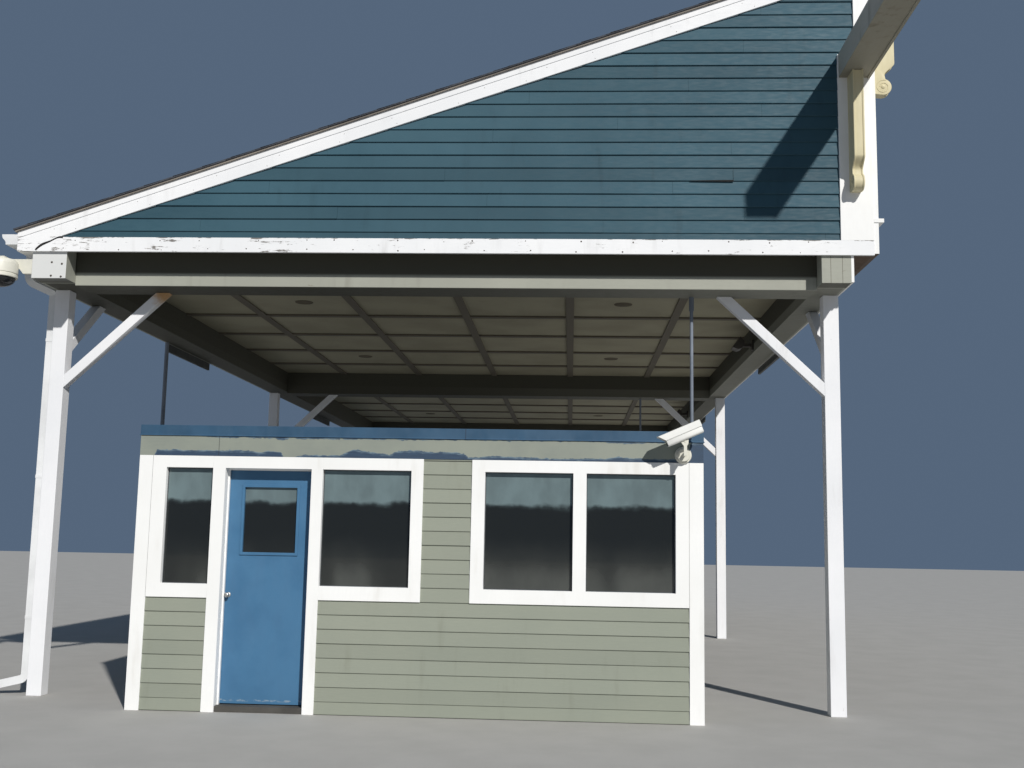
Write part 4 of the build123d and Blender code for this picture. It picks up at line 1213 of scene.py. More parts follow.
@dataclass
class BoothWindows:
    """Glass and the dark gaskets that hold it in the jambs."""

    glass_gap: float = 0.055
    bead: float = 0.007
    proud_share: float = 0.7
    low: float = 1.070
    high: float = 2.067
    half_depth: float = 0.715
    half_length: float = 2.45
    end: tuple = ((-0.310, 0.310),)
    front: tuple = ((-2.205, -1.793), (-0.825, -0.053), (0.586, 1.343), (1.457, 2.214))

    def gaskets(self) -> None:
        """Adds four thin strips round each pane, on its outer face."""
        b, low, high = self.bead, self.low, self.high
        pairs = []
        for axis, half, sign, windows in ((Axis.Y, self.half_depth, -1, self.front),
                                          (Axis.Y, self.half_depth, 1, self.front[1:]),
                                          (Axis.X, self.half_length, -1, self.end),
                                          (Axis.X, self.half_length, 1, self.end)):
            inner = sign * (half - self.glass_gap)
            outer = inner + sign * b * self.proud_share
            for left, right in windows:
                strips = (((left, low), (right, low + b)), ((left, high - b), (right, high)),
                          ((left, low + b), (left + b, high - b)),
                          ((right - b, low + b), (right, high - b)))
                pairs += [np.insert(strip, axis.value, (inner, outer), axis=1)
                          for strip in strips]
        Surface().blocks(pairs).build("window_gaskets", GASKET, "fixture_metal")

    def make(self) -> None:
        """Builds the gaskets and dresses the panes."""
        self.gaskets()
        dress(GLASS, "window_glass")


@dataclass
class DoorSet:
    """The door: leaf, glass, two turned knobs and hinges."""

    knob_x: float = -1.642
    leaf_faces: tuple = ((-0.585, OUT_FRONT), (-0.545, OUT_BACK))
    knob_z: float = 0.975
    profile: tuple = (
        (0.0, 0.0), (0.023, 0.0), (0.023, 0.002), (0.0215, 0.005), (0.0125, 0.008),
        (0.0102, 0.012), (0.0100, 0.026), (0.013, 0.0295), (0.0175, 0.032), (0.0205, 0.0365),
        (0.022, 0.042), (0.0216, 0.048), (0.0195, 0.0535), (0.016, 0.0572), (0.0105, 0.0594),
        (0.0, 0.06))

    def knobs(self) -> None:
        """Adds both knobs, each a profile turned about its own axis."""
        surface = Surface()
        for y, way in self.leaf_faces:
            surface.turned(self.profile, (self.knob_x, y, self.knob_z), way, 48)
        piece = surface.build("turned_knobs", STEEL, "bright_steel", Shading.BY_ANGLE,
                              body="door")
        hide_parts("door_knobs")

    def make(self) -> None:
        """Builds the knobs and dresses the leaf, its glass and the hinges."""
        self.knobs()
        dress(DOOR_BLUE, "door_leaf", bevel=0.0012)
        dress(GLASS, "door_glass")
        dress(STEEL, "frame_hinge_halves", "leaf_hinge_halves")


@dataclass
class RoofEdge:
    """The booth's top: the fascia with its worn bands and the metal edge over it."""

    low: float = 2.345
    half_sizes: tuple = (2.454, 0.719)
    section: tuple = ((-0.003, 0.012), (0.0, 0.012), (0.006, 0.0016), (0.006, 0.0),
                      (-0.003, 0.0))

    def hem(self) -> None:
        """
        Adds the kicked-out foot of the metal edge: a small sloping fold carried round the booth.
        Its section is pairs of distance out from the face and height over the edge's foot.
        """
        corners = np.array([(-1, -1), (1, -1), (1, 1), (-1, 1)], float)[:, None]
        section = np.array(self.section)
        rings = corners * np.array(self.half_sizes) + corners * section[:, :1]
        z = np.broadcast_to(self.low + section[:, 1:], rings.shape[:2] + (1,))
        surface = Surface().grid(np.concatenate([rings, z], -1), True, True)
        surface.build("roof_edge_hem", EDGE_BLUE, "blue_metal")

    def make(self) -> None:
        """Builds the hem and dresses the two bands."""
        self.hem()
        dress(FASCIA, "booth_fascia")
        dress(EDGE_BLUE, "roof_edge_flashing", bevel=0.002)


# --- The canopy ---


@dataclass
class CanopyFrame:
    """Posts, braces and beams, with the bolts through the front ends of the beams."""

    front: float = -0.570
    washer: tuple = ((0.0, 0.0), (0.0095, 0.0), (0.0095, 0.002), (0.0, 0.002))
    head: tuple = ((0.0, 0.002), (0.006, 0.002), (0.006, 0.006), (0.0, 0.006))
    bolt_places: tuple = ((-3.441, 3.930), (-3.346, 3.916), (-3.441, 3.804), (-3.348, 3.796))

    def bolts(self) -> None:
        """Adds the hexagon heads on their round washers."""
        surface = Surface()
        for x, z in self.bolt_places:
            surface.turned(self.washer, (x, self.front, z), OUT_FRONT, 20)
            surface.turned(self.head, (x, self.front, z), OUT_FRONT, 6)
        surface.build("beam_bolts", BOLT, "fixture_metal")

    def make(self) -> None:
        """Builds the bolts and dresses the timber."""
        self.bolts()
        dress(POST_WHITE, "posts", bevel=0.004)
        dress(BRACE_WHITE, "knee_braces", bevel=0.004)
        dress(BEAM_GREY, "side_beams", "cross_beams", bevel=0.004)
        dress(WHITE, "right_beam_side_board", "eave_fascia")
        dress(OUTRIGGER_WHITE, "outriggers", bevel=0.003)


@dataclass
class CeilingSet:
    """Ceiling sheets, battens and the round lights."""

    under: float = 4.100
    radius: float = 0.100
    columns: tuple = (-1.710, 1.880)
    rows: tuple = (1.935, 5.765, 9.647, 13.477)
    profile: tuple = ((0.0, 0.0), (1.0, 0.0), (1.0, 0.004), (0.97, 0.0075), (0.86, 0.009),
                      (0.84, 0.0075), (0.7, 0.0105), (0.45, 0.013), (0.0, 0.014))

    def lights(self) -> None:
        """Adds the shallow round covers: rim, step and crowned lens, r in shares of radius."""
        surface = Surface()
        cover = np.array(self.profile) * (self.radius, 1.0)
        for x in self.columns:
            for y in self.rows:
                surface.turned(cover, (x, y, self.under), DOWNWARDS, 36)
        # The covers' darker tone is painted shade of the recessed light cans.
        piece = surface.build("round_ceiling_lights", LAMP, "lamp_cover", Shading.BY_ANGLE)
        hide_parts("ceiling_lights")

    def make(self) -> None:
        """Builds the lights and dresses the ceiling."""
        self.lights()
        dress(CEILING_SHEET, "ceiling_panels")
        dress(CEILING_BATTEN, "ceiling_battens")


def ribbon(path: np.ndarray, away: np.ndarray, back: float, front: float) -> np.ndarray:
    """
    A thin bar on a gable, with a width of its own at each point of its path.

    Args:
        path: Its middle line, as pairs of x and z.
        away: The way from there to its one edge.
        back: The y of its back.
        front: The y of its face.

    Returns:
        Its rings of points.
    """
    return np.stack([np.insert(path + away * shift, 1, y, axis=1)
                     for shift, y in ((-1, back), (-1, front), (1, front), (1, back))], 1)


@dataclass
class Gable:
    """
    Both gable walls: lap boards cut along the rake, peeling trim and the joint at its foot.
    Nails are given as the heights of their rows, their spacing and how far they stray from it.
    """

    eave_x: float = -3.764
    eave_z: float = 4.205
    slope: float = 0.3416
    face: float = -0.570
    trim_face: float = -0.600
    far_end: float = 15.424
    frieze_low: float = 4.026
    frieze_top: float = 4.160
    rake: float = 0.173
    right: float = 3.840
    board_right: float = 3.690
    outrigger_z: float = 5.86
    course_start: float = 4.222
    tuck: float = 0.05
    board: float = 3.66
    boards_out: float = 0.0185
    gap_left: float = 2.356
    gap_right: float = 2.742
    gap_z: float = 4.7035
    gap_half: tuple = (0.0015, 0.0065)
    butt: tuple = (0.0007, 0.0016, 0.11)
    joint_at: tuple = (-3.590, 4.036)
    joint_size: tuple = (0.250, 0.118)
    nail_left: float = -3.30
    frieze_nails: tuple = ((0.024, 0.110), 0.42, 0.12)
    rake_nails: tuple = ((0.085, 0.150), 0.61, 0.15)
    nail_height: tuple = (0.0012, 0.0014)
    frieze_nail_sizes: tuple = (0.0038, 0.0080)
    rake_nail: tuple = (0.0035, 0.003)

    def faces(self, near: float) -> tuple[tuple[float, float], tuple[float, float]]:
        """The y of a face of the near gable and of the far one, each with its way out."""
        return (near, -1.0), (self.far_end - near, 1.0)

    def siding(self) -> None:
        """
        Adds the courses of both gables. A course starts where the rake board's lower edge
        crosses its foot: x = eave_x + (foot + rake - eave_z) / slope, less a tuck behind it.
        """
        surface = Surface()
        top = self.eave_z + self.slope * (self.right - self.eave_x) - self.rake
        for side, (face, _), seed in zip((Side.FRONT, Side.BACK), self.faces(self.face), (21, 22)):
            wall = LapWall(surface, side, face, seed, exposure=TEAL.course, foot=0.018,
                           stations=16, wander=0.0009)
            feet, heads = wall.rows(self.frieze_top - 0.03, top + 0.02, self.course_start)
            lefts = self.eave_x + (feet + self.rake - self.eave_z) / self.slope - self.tuck
            rights = np.where(feet > self.outrigger_z, self.right, self.board_right)
            wall.split(lefts, rights, feet, heads, self.board)
        surface.build("gable_lap_boards", TEAL, "teal_siding")

    def open_joint(self) -> None:
        """
        Adds the gap between the rake board's curved foot and the frieze: a ribbon of painted shade
        along a smooth curve, z(t) = foot + rise * sin(pi t / 2)^0.9 + 6 mm * sin(9 t), on both
        gables.
        """
        (left, foot), (length, rise) = self.joint_at, self.joint_size
        t = np.linspace(0, 1, 30)
        z = foot + rise * np.sin(t * np.pi / 2) ** 0.9 + 0.006 * np.sin(t * 9)
        path = np.stack([left + length * t, z], -1)
        way = np.gradient(path, axis=0)
        way /= np.linalg.norm(way, axis=1)[:, None]
        half = (0.0085 + 0.0025 * np.sin(t * 7))[:, None]
        away = np.stack([-way[:, 1], way[:, 0]], -1) * half
        surface = Surface()
        for face, sign in self.faces(self.trim_face):
            surface.bar(ribbon(path, away, face - sign * 0.002, face + sign * 0.0012))
        surface.build("open_joint_at_rake_foot", GAP_SHADE, "fixture_metal")

    def lifted_board(self) -> None:
        """
        Adds the open gap under one warped lap board near the right end: a bar of painted shade that
        tapers to the left as t^0.7, and the open butt joint at its right end.
        """
        t = np.linspace(0, 1, 12)
        x = self.gap_left + (self.gap_right - self.gap_left) * t
        path = np.stack([x, np.full(12, self.gap_z)], -1)
        least, more = self.gap_half
        away = np.stack([np.zeros(12), least + more * t ** 0.7], -1)
        half, proud, height = self.butt
        surface = Surface()
        for face, sign in self.faces(self.face - self.boards_out):
            surface.bar(ribbon(path, away, face - sign * 0.004, face + sign * 0.0022))
            surface.blocks([((self.gap_right - half, face, self.gap_z),
                             (self.gap_right + half, face + sign * proud, self.gap_z + height))])
        surface.build("lifted_lap_gap", GAP_SHADE, "fixture_metal")

    def nails(self) -> None:
        """
        Adds the rusty nail heads along the edges of the frieze and of the rake board. A nail of
        the rake lies at (x, eave_z + slope * (x - eave_x) - drop), the drop straight down.
        """
        random = np.random.default_rng(61)
        surface = Surface()
        shoulder, crown = self.nail_height
        for face, sign in self.faces(self.trim_face):
            found = []
            rows, spacing, stray = self.frieze_nails
            x = np.arange(self.nail_left, self.board_right, spacing)
            for up in rows:
                place = x + random.uniform(-stray, stray, len(x))
                height = self.frieze_low + up + random.uniform(-0.008, 0.008, len(x))
                radius = random.uniform(*self.frieze_nail_sizes, len(x))
                found += zip(place, height, radius, radius * 0.8)
            drops, spacing, stray = self.rake_nails
            x = np.arange(self.nail_left, self.board_right - 0.3, spacing)
            for drop in drops:
                place = x + random.uniform(-stray, stray, len(x))
                height = self.eave_z + self.slope * (place - self.eave_x) - drop
                found += ((*spot, *self.rake_nail) for spot in zip(place, height))
            for place, height, radius, inner in found:
                surface.turned(((0, 0), (radius, 0), (inner, shoulder), (0, crown)),
                               (place, face, height), (0, sign, 0), 8)
        surface.build("trim_nail_heads", NAIL, "fixture_metal")

    def make(self) -> None:
        """Builds the boards, the joint and the nails, and dresses the walls and trim."""
        self.siding()
        self.open_joint()
        self.lifted_board()
        self.nails()
        dress(TEAL, "gable_walls")
        dress(WHITE_PEELING, "gable_trim", bevel=0.002)


@dataclass
class ShingleRoof:
    """Three-tab shingles in courses up the slope, each tab a thin wedge of its own."""

    eave_x: float = -3.782
    top_x: float = 3.800
    angle: float = math.atan(0.3416)
    deck_eave_z: float = 4.22485
    near: float = -0.640
    far: float = 16.064
    exposure: float = 0.140
    tab: float = 0.3048
    slot: float = 0.008
    butt: float = 0.0075
    head: float = 0.002
    lap: float = 0.02
    narrowest: float = 0.02
    overhang: float = 0.012
    strip_width: float = 0.03
    strip_offs: tuple = (-0.010, 0.004)

    def length(self) -> float:
        """The deck's length up the slope."""
        return (self.top_x - self.eave_x) / math.cos(self.angle)

    def on_slope(self, along: np.ndarray, off: Union[np.ndarray, float],
                 y: np.ndarray) -> np.ndarray:
        """
        Points over the deck.

        Args:
            along: How far up the slope they lie.
            off: How far off the deck.
            y: Their y.

        Returns:
            The points in the frame.
        """
        cos, sin = math.cos(self.angle), math.sin(self.angle)
        x, z = self.eave_x + along * cos - off * sin, self.deck_eave_z + along * sin + off * cos
        return np.stack([x, np.broadcast_to(y, x.shape), z], -1)

    def tabs(self) -> None:
        """
        Adds all tabs at once. Tab (i, j) starts at the distance i * exposure up the slope and at
        j * tab, less half a tab on odd courses; its lower end stands `butt` off the deck.
        """
        random = np.random.default_rng(41)
        length = self.length()
        courses = math.ceil((length + self.overhang) / self.exposure)
        columns = math.ceil((self.far - self.near) / self.tab) + 1
        i, j = np.meshgrid(np.arange(courses), np.arange(columns), indexing="ij")
        start = -self.overhang + i * self.exposure + random.uniform(-0.002, 0.002, i.shape)
        end = np.minimum(start + self.exposure + self.lap, length)
        y0 = self.near + (j - 0.5 * (i % 2)) * self.tab + self.slot / 2
        y1 = np.minimum(y0 + self.tab - self.slot, self.far)
        y0 = np.maximum(y0, self.near)
        lift = self.butt + random.uniform(-0.001, 0.0016, i.shape)
        keep = (y1 - y0 > self.narrowest) & (end - start > self.narrowest)
        start, end, y0, y1, lift = (a[keep] for a in (start, end, y0, y1, lift))
        along = np.stack([start, start, end, end], -1)
        off = np.stack([lift * 0, lift, np.full_like(lift, self.head), lift * 0], -1)
        rings = [self.on_slope(along, off, y[:, None]) for y in (y0, y1)]
        Surface().bars(np.stack(rings, 1)).build("roof_shingle_tabs", SHINGLE, "shingles")

    def edges(self) -> None:
        """Adds the starter strips along both rakes, over the upper part of the deck's edge."""
        along = np.array([-self.overhang, self.length()])
        surface = Surface()
        low, high = self.strip_offs
        for y0 in (self.near, self.far - self.strip_width):
            y1 = y0 + self.strip_width
            corners = ((y0, low), (y0, high), (y1, high), (y1, low))
            surface.bar(np.stack([self.on_slope(along, off, y) for y, off in corners], 1))
        surface.build("shingle_edge_strips", SHINGLE, "shingles")

    def make(self) -> None:
        """Builds the tabs and the edge strips and dresses the deck."""
        self.tabs()
        self.edges()
        dress(DECK_EDGE, "roof_deck")


# --- The false front ---


@dataclass
class Console:
    """
    A tall bracket with a scrolled foot. Its outline is a closed path in (out, up); across its
    width each point of the front moves inwards by a bead-and-channel profile, so that the front
    has rounded edges, two beads and a sunk field between them.
    """

    height: float = 1.080
    reach: float = 0.190
    width: float = 0.096
    scroll: float = 0.076
    centre_out: float = 0.084
    neck_out: float = 0.100
    neck_up: float = 0.186
    shaft_foot: float = 0.300
    across: tuple = ((-1.0, 0.006), (-0.97, 0.002), (-0.9, 0.0), (-0.76, 0.0), (-0.68, 0.002),
                     (-0.62, 0.007), (-0.2, 0.006), (0.2, 0.006), (0.62, 0.007), (0.68, 0.002),
                     (0.76, 0.0), (0.9, 0.0), (0.97, 0.002), (1.0, 0.006))
    eye: tuple = ((0, 0), (0.020, 0), (0.019, 0.005), (0.013, 0.010), (0, 0.0125))
    bead: float = 0.0042
    spiral: tuple = (1.2, 2.6 * math.pi)
    spiral_shares: tuple = (0.86, 0.48)

    def outline(self) -> tuple[np.ndarray, np.ndarray]:
        """
        The closed outline, from the top of the front down, round the scroll and up the back.

        Returns:
            Its points as (out, up), and how much of the front's profile each point takes.
        """
        shaft = np.stack([np.full(10, self.reach),
                          np.linspace(self.height, self.shaft_foot, 10)], -1)
        t = np.linspace(0, 1, 12)[1:]
        sweep = np.stack([self.reach - (self.reach - self.neck_out) * t * t * (3 - 2 * t),
                          self.shaft_foot + (self.neck_up - self.shaft_foot) * t], -1)
        turn = np.radians(np.linspace(72, -96, 24))
        scroll = np.stack([self.centre_out + self.scroll * np.cos(turn),
                           self.scroll + self.scroll * np.sin(turn)], -1)
        back = [(0.045, 0.004), (0.0, 0.012), (0.0, 0.3), (0.0, 0.7), (0.0, self.height)]
        share = np.repeat([1.0, 0.4, 0.0], [len(shaft) + len(sweep) + len(scroll), 1, 4])
        return np.concatenate([shaft, sweep, scroll, back]), share

    def add_to(self, surface: Surface, place: Matrix) -> None:
        """
        Adds one bracket.

        Args:
            surface: What the brackets are gathered in.
            place: Carries (out, across, up) to the frame.
        """
        turn, move = np.array(place.to_3x3()), np.array(place.translation)
        path, share = self.outline()
        way = np.roll(path, -1, 0) - np.roll(path, 1, 0)
        way /= np.linalg.norm(way, axis=1)[:, None]
        inward = np.stack([way[:, 1], -way[:, 0]], -1)
        rows = [np.insert(path + inward * (share * sunk)[:, None], 1, side * self.width / 2, axis=1)
                for side, sunk in self.across]
        surface.bar(np.stack(rows) @ turn.T + move)
        (start, sweep), (outer, shrink) = self.spiral, self.spiral_shares
        angle = np.linspace(0, sweep, 60)
        radius = self.scroll * (outer - shrink * angle / angle[-1])
        spiral = np.stack([self.centre_out + radius * np.cos(angle + start),
                           self.scroll + radius * np.sin(angle + start)], -1)
        for sign in (-1, 1):
            edge = np.insert(spiral, 1, sign * self.width / 2, axis=1)
            surface.tube(edge @ turn.T + move, self.bead, 6)
            eye = np.array([self.centre_out, sign * (self.width / 2 - 0.002), self.scroll])
            surface.turned(self.eye, eye @ turn.T + move, np.array([0, sign, 0]) @ turn.T, 20)


@dataclass
class FalseFront:
    """The tall false front: its street face in lap boards, trim, cornice and consoles."""

    wall_face: float = 3.965
    board_face: float = 4.007
    near: float = -0.592
    far: float = 16.016
    corner: float = 0.220
    ledge_top: float = 4.358
    entablature: float = 5.460
    cornice_low: float = 6.600
    board: float = 3.66
    consoles: tuple = (-0.500, 15.924, 9)
    outrigger_x: float = 3.808
    outrigger_low: float = 5.660
    outrigger_faces: tuple = ((-0.600, -90), (16.024, 90))

    def siding(self) -> None:
        """Adds the boards between the corner boards, the ledge and the entablature."""
        surface = Surface()
        wall = LapWall(surface, Side.RIGHT, self.wall_face, 31, exposure=TEAL.course, foot=0.018,
                       stations=10)
        wall.panel(self.near + self.corner, self.far - self.corner, self.ledge_top,
                   self.entablature, self.ledge_top, joints=self.board)
        surface.build("front_lap_boards", TEAL, "teal_siding")

    def brackets(self) -> None:
        """Adds the consoles under the cornice, and the one under each outrigger."""
        console, surface = Console(), Surface()
        for y in np.linspace(*self.consoles):
            console.add_to(surface, Matrix.Translation(
                (self.board_face, float(y), self.cornice_low - console.height)))
        for y, turn in self.outrigger_faces:
            low = Matrix.Translation((self.outrigger_x, y, self.outrigger_low - console.height))
            console.add_to(surface, low @ Matrix.Rotation(math.radians(turn), 4, "Z"))
        piece = surface.build("scrolled_consoles", CREAM, "cream_trim", Shading.BY_ANGLE)
        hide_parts("scroll_brackets")

    def make(self) -> None:
        """Builds the boards and consoles and dresses the rest."""
        self.siding()
        self.brackets()
        dress(TEAL_WALL, "false_front_wall")
        dress(BOARD_WHITE, "facade_boards", bevel=0.002)
        dress(WHITE, "false_front_end_boards", bevel=0.002)
        dress(WHITE, "false_front_cornice")


# --- The fixtures ---


@dataclass
class DomeCamera:
    """The dome camera and the curved arm that holds it to the side beam."""

    x: float = -3.880
    y: float = -0.640
    rim: float = 3.765
    cap: float = 0.170
    radius: float = 0.150
    arm_depth: float = 0.022
    arm_half: float = 0.055
    bowl: float = 0.132
    bowl_depth: float = 0.082
    face: float = -0.570
    arm_width: float = 0.045
    root: float = -3.626
    foot: float = 0.080
    foot_z: float = 3.821
    curl: float = 0.132

    def make(self) -> None:
        """Turns the housing and the dome, and cuts the arm with its curved underside."""
        r, h, half = self.radius, self.cap, self.arm_half
        centre = (self.x, self.y, self.rim)
        surface = Surface().turned((
            (0.0, h), (r * 0.70, h), (r * 0.88, h - 0.006), (r * 0.97, h - 0.022), (r, h - 0.045),
            (r, 0.040), (r - 0.006, 0.037), (r - 0.006, 0.031), (r, 0.028), (r, 0.004),
            (r - 0.003, 0.0), (r * 0.86, 0.0), (0.0, 0.0)), centre, sides=64)
        low = self.rim + h
        top = low + self.arm_depth
        t = np.linspace(0, 1, 16)
        rise = (low - self.foot_z) * (1 - (1 - t) ** 1.5)
        curve = np.stack([self.root - self.foot - self.curl * t, self.foot_z + rise], -1)
        outline = [(self.x - half, top), (self.root, top), (self.root, self.foot_z), *curve,
                   (self.x - half, low)]
        surface.bar(carried(outline, Axis.Y, (self.face, self.face + self.arm_width)))
        surface.blocks([((self.x - half, self.y - half, low), (self.x + half, self.face, top))])
        case = surface.build("dome_camera_case", DOME_WHITE, "camera_case", Shading.BY_ANGLE,
                             bevel=0.0015)
        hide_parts("dome_camera")
        bowl = [(0.0, 0.004), (self.bowl, 0.004), *(
            (self.bowl * math.cos(a), -self.bowl_depth * math.sin(a))
            for a in np.linspace(0, np.pi / 2, 16))]
        Surface().turned(bowl, centre, sides=64).build(
            "smoked_dome", DARK_PLASTIC, "camera_case", Shading.SMOOTH)


@dataclass
class BulletCamera:
    """The camera on the booth's fascia: body under a folded sunshield, arm, and round box."""

    x: float = 2.262
    y: float = -0.905
    z: float = 2.401
    tilt: float = 23.6
    length: float = 0.320
    width: float = 0.105
    depth: float = 0.108
    roundness: float = 0.45
    hood: float = 0.058
    hood_cut: float = 0.056
    shield_side: float = 0.058
    shield_gaps: tuple = (0.008, 0.006)
    shield_inner: float = 0.955
    box_x: float = 2.277
    box_z: float = 2.234
    box_radius: float = 0.072
    fascia: float = -0.715
    box_depth: float = 0.055
    box_bolts: tuple = (35, 125, 215, 305)
    bolt_ring: float = 0.86
    arm_radius: float = 0.016
    plate_half: float = 0.017
    plate: tuple = ((-0.013, -0.018), (0.013, -0.018), (0.013, 0.064), (0.025, 0.086),
                    (0.026, 0.137), (-0.046, 0.117), (-0.031, 0.088), (-0.013, 0.064))

    def placed(self, points: np.ndarray) -> np.ndarray:
        """Points along, across and up the camera, tipped and put in place."""
        turn = np.array(Matrix.Rotation(-math.radians(self.tilt), 3, "Y"))
        return points @ turn.T + np.array([self.x, self.y, self.z])

    def scaled(self, stations: Sequence) -> np.ndarray:
        """
        The camera's rounded section, a superellipse, set along it.

        Args:
            stations: Pairs of place along the camera and scale of the section.

        Returns:
            One ring of points for each pair.
        """
        angle = np.linspace(0, 2 * np.pi, 32, endpoint=False)
        circle = np.stack([np.cos(angle), np.sin(angle)], -1)
        ring = np.sign(circle) * np.abs(circle) ** self.roundness * (self.width, self.depth) / 2
        return self.placed(np.stack([np.insert(ring * scale, 0, place, axis=1)
                                     for place, scale in stations]))

    def shield(self) -> np.ndarray:
        """
        The folded sunshield, cut back at its sides.

        Returns:
            Its four edges: front and back outside, then back and front inside.
        """
        half, (beside, above) = self.length / 2, self.shield_gaps
        bend = np.linspace(-1, 1, 17)
        flank = np.abs(bend)
        across = (self.width / 2 + beside) * np.sign(bend) * np.minimum(flank * 1.55, 1.0)
        up = self.depth / 2 + above - self.shield_side * np.clip((flank - 0.6) / 0.4, 0, 1)
        front = -half - self.hood + self.hood_cut * np.clip((flank - 0.55) / 0.45, 0, 1)
        back = np.full_like(bend, half + 0.003)
        return self.placed(np.stack([
            np.stack([end, across * scale, up - (1 - scale) * 0.05], -1)
            for end, scale in ((front, 1.0), (back, 1.0), (back, self.shield_inner),
                               (front, self.shield_inner))]))

    def make(self) -> None:
        """Builds the body with its shield, its lens and its mount."""
        half = self.length / 2
        body = Surface().bar(self.scaled(
            ((-half, 0.94), (0.006 - half, 1.0), (half - 0.006, 1.0), (half, 0.94))))
        body.grid(self.shield(), wrap_rows=True)
        case = body.build("bullet_camera_case", CAMERA_WHITE, "camera_case", Shading.BY_ANGLE)
        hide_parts("bullet_camera")
        Surface().bar(self.scaled(((0.002 - half, 0.86), (-half - 0.002, 0.86)))).build(
            "camera_window", DARK_PLASTIC, "camera_case", Shading.BY_ANGLE)
        self.mount()

    def mount(self) -> None:
        """Adds the round box with its bolts, the bent arm, and the plate with its screw."""
        r, d, x, z, face = self.box_radius, self.box_depth, self.box_x, self.box_z, self.fascia
        mount = Surface().turned((
            (0.0, 0.0), (r, 0.0), (r, d * 0.25), (r * 0.94, d * 0.4), (r * 0.8, d * 0.45),
            (r * 0.78, d * 0.9), (r * 0.72, d), (0.0, d)), (x, face, z), OUT_FRONT, 40)
        ring, half = r * self.bolt_ring, self.plate_half
        for a in np.radians(self.box_bolts):
            mount.turned(
                ((0, 0), (0.008, 0), (0.008, 0.008), (0, 0.01)),
                (x + ring * math.cos(a), face - d * 0.38, z + ring * math.sin(a)),
                OUT_FRONT, 10)
        arm = np.array([(x, face - d, z), (x, face - d - 0.06, z), (x, self.y, z)])
        mount.tube(arm, self.arm_radius, 16)
        mount.bar(carried(np.array(self.plate) + (x, z), Axis.Y, (self.y - half, self.y + half)))
        mount.turned(((0, 0), (0.009, 0), (0.008, 0.005), (0, 0.006)),
                     (x - 0.004, self.y - half, z + 0.105), OUT_FRONT, 14)
        # The mount takes the dome's darker off-white as painted shade for the camera's shadow over
        # it.
        mount.build("camera_mount", DOME_WHITE, "camera_case", Shading.BY_ANGLE)


@dataclass
class Floodlights:
    """Box floodlights on short arms from the right side beam."""

    beam: float = 3.508
    arm: float = 0.170
    z: float = 3.870
    rows: tuple = (3.200, 10.912)
    size: tuple = (0.095, 0.210, 0.160)
    tip: float = 35.0

    def make(self) -> None:
        """Builds the arms, pads, cases and glass."""
        cases, lenses = Surface(), Surface()
        turn = np.array(Matrix.Rotation(math.radians(self.tip), 3, "Y"))
        dx, dy, dz = (v / 2 for v in self.size)
        outline = ((-dx, -dz), (dx * 0.4, -dz * 0.8), (dx, -dz * 0.35), (dx, dz * 0.35),
                   (dx * 0.4, dz * 0.8), (-dx, dz))
        case = carried(outline, Axis.Y, (-dy, dy)) @ turn.T
        w, h = dy * 0.88, dz * 0.84
        pane = carried(((-w, -h), (w, -h), (w, h), (-w, h)), Axis.X,
                       (-dx - 0.002, -dx + 0.002)) @ turn.T
        tip = self.beam - self.arm
        for y in self.rows:
            cases.blocks([((start, y - half, self.z - half), (end, y + half, self.z + half))
                          for start, end, half in ((self.beam - 0.020, self.beam, 0.06),
                                                   (tip, self.beam - 0.01, 0.02))])
            centre = np.array([tip, y, self.z])
            cases.bar(case + centre)
            lenses.bar(pane + centre)
        case = cases.build("floodlight_cases", BRONZE, "fixture_metal", bevel=0.003)
        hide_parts("floodlights")
        lenses.build("floodlight_lenses", LAMP, "lamp_cover")


@dataclass
class Fittings:
    """Gutter, downspout, conduits, lane boards, cameras and floodlights."""

    fixtures: tuple = (DomeCamera(), BulletCamera(), Floodlights())

    def make(self) -> None:
        """Builds the fixtures and dresses the sheet metal."""
        for fixture in self.fixtures:
            fixture.make()
        dress(GUTTER, "gutter_back", "gutter_floor", "gutter_front", "gutter_ends", "downspout")
        dress(CONDUIT, "conduits")
        dress(BOARD, "lane_boards", bevel=0.002)


# --- The studio ---


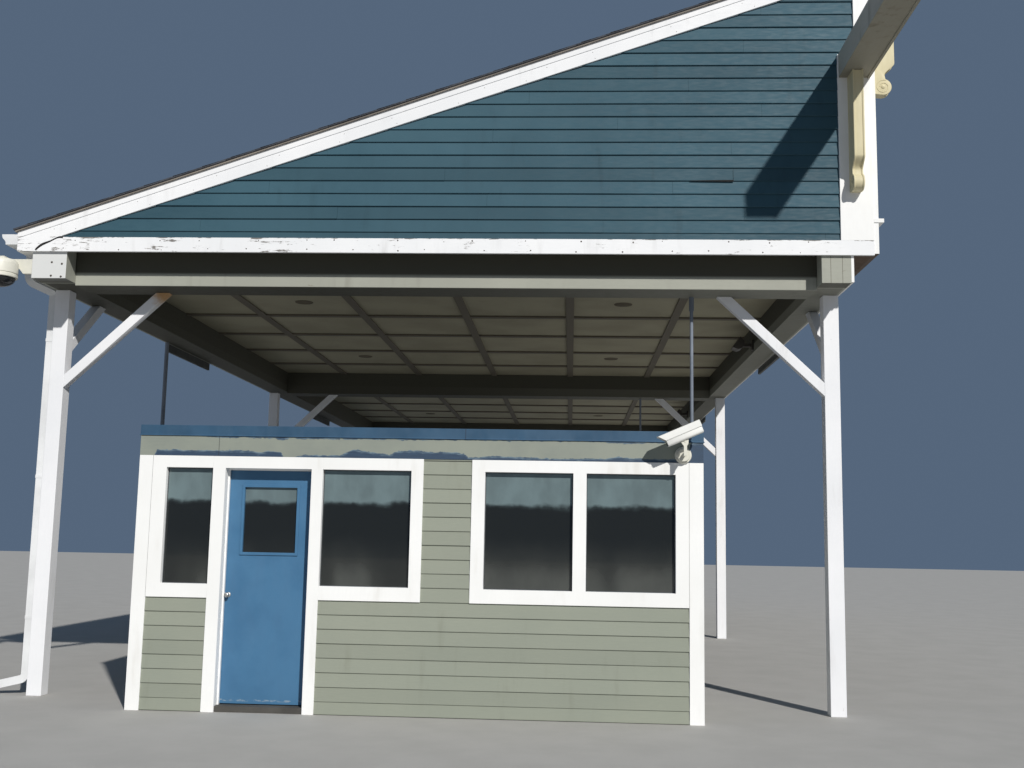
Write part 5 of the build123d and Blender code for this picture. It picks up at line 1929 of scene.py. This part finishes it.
@dataclass
class Studio:
    """Plain pale floor, soft light and the camera at the photograph's view."""

    camera_place: Point = (1.3261, -10.354, 1.5241)
    yaw: float = -0.0543
    pitch: float = 0.1348
    roll: float = 0.0185
    lens: float = 39.43
    sensor: float = 36.0
    view_reach: float = 400.0
    sun_travel: Point = (-0.48, 1.0, -0.738)
    sun_strength: float = 3.7
    sun_spread: float = 1.2
    sun_colour: Colour = (1.0, 0.975, 0.93)
    sky: Colour = (0.46, 0.67, 1.0)
    sky_strength: float = 0.20
    floor_half: float = 60.0

    def floor(self) -> None:
        """A pale floor, a grid of two by two faces, not part of the object."""
        side = np.linspace(-self.floor_half, self.floor_half, 3)
        points = [(x, y, 0.0) for x in side for y in side]
        mesh = bpy.data.meshes.new("floor")
        mesh.from_pydata(points, [], grid_quads(3, 3).tolist())
        floor = bpy.data.objects.new("floor", mesh)
        bpy.context.scene.collection.objects.link(floor)
        mesh.materials.append(STUDIO_FLOOR.material())

    def light(self) -> None:
        """One broad sun from the photograph's direction, and an even sky."""
        lamp = bpy.data.lights.new("key_light", "SUN")
        lamp.energy = self.sun_strength
        lamp.angle = math.radians(self.sun_spread)
        lamp.color = self.sun_colour
        key = bpy.data.objects.new("key_light", lamp)
        key.rotation_euler = Vector(self.sun_travel).to_track_quat("-Z", "Y").to_euler()
        bpy.context.scene.collection.objects.link(key)
        world = bpy.data.worlds.new("studio")
        world.use_nodes = True
        back = world.node_tree.nodes["Background"]
        back.inputs[0].default_value = (*self.sky, 1.0)
        back.inputs[1].default_value = self.sky_strength
        bpy.context.scene.world = world
        bpy.context.scene.view_settings.view_transform = "Standard"

    def camera(self) -> None:
        """The camera: looks along the yaw and pitch, turned by the roll about its own line."""
        cy, sy, cp, sp = (f(v) for v in (self.yaw, self.pitch) for f in (math.cos, math.sin))
        ahead, right = Vector((sy * cp, cy * cp, sp)), Vector((cy, -sy, 0.0))
        up = right.cross(ahead)
        cr, sr = math.cos(self.roll), math.sin(self.roll)
        right, up = cr * right + sr * up, -sr * right + cr * up
        data = bpy.data.cameras.new("camera")
        data.lens = self.lens
        data.sensor_width = self.sensor
        data.clip_end = self.view_reach
        view = bpy.data.objects.new("camera", data)
        turn = Matrix((right, up, -ahead)).transposed().to_4x4()
        view.matrix_world = Matrix.Translation(self.camera_place) @ turn
        bpy.context.scene.collection.objects.link(view)
        bpy.context.scene.camera = view

    def make(self) -> None:
        """Sets up the floor, the light and the camera."""
        self.floor()
        self.light()
        self.camera()


def main() -> None:
    """Builds every part in order."""
    logging.basicConfig(level=logging.INFO, format="%(name)s %(message)s")
    for part in (Studio(), BoothShell(), BoothWindows(), DoorSet(), RoofEdge(), CanopyFrame(),
                 CeilingSet(), Gable(), ShingleRoof(), FalseFront(), Fittings()):
        LOG.info("building %s", type(part).__name__)
        part.make()


if __name__ == "__main__":
    main()
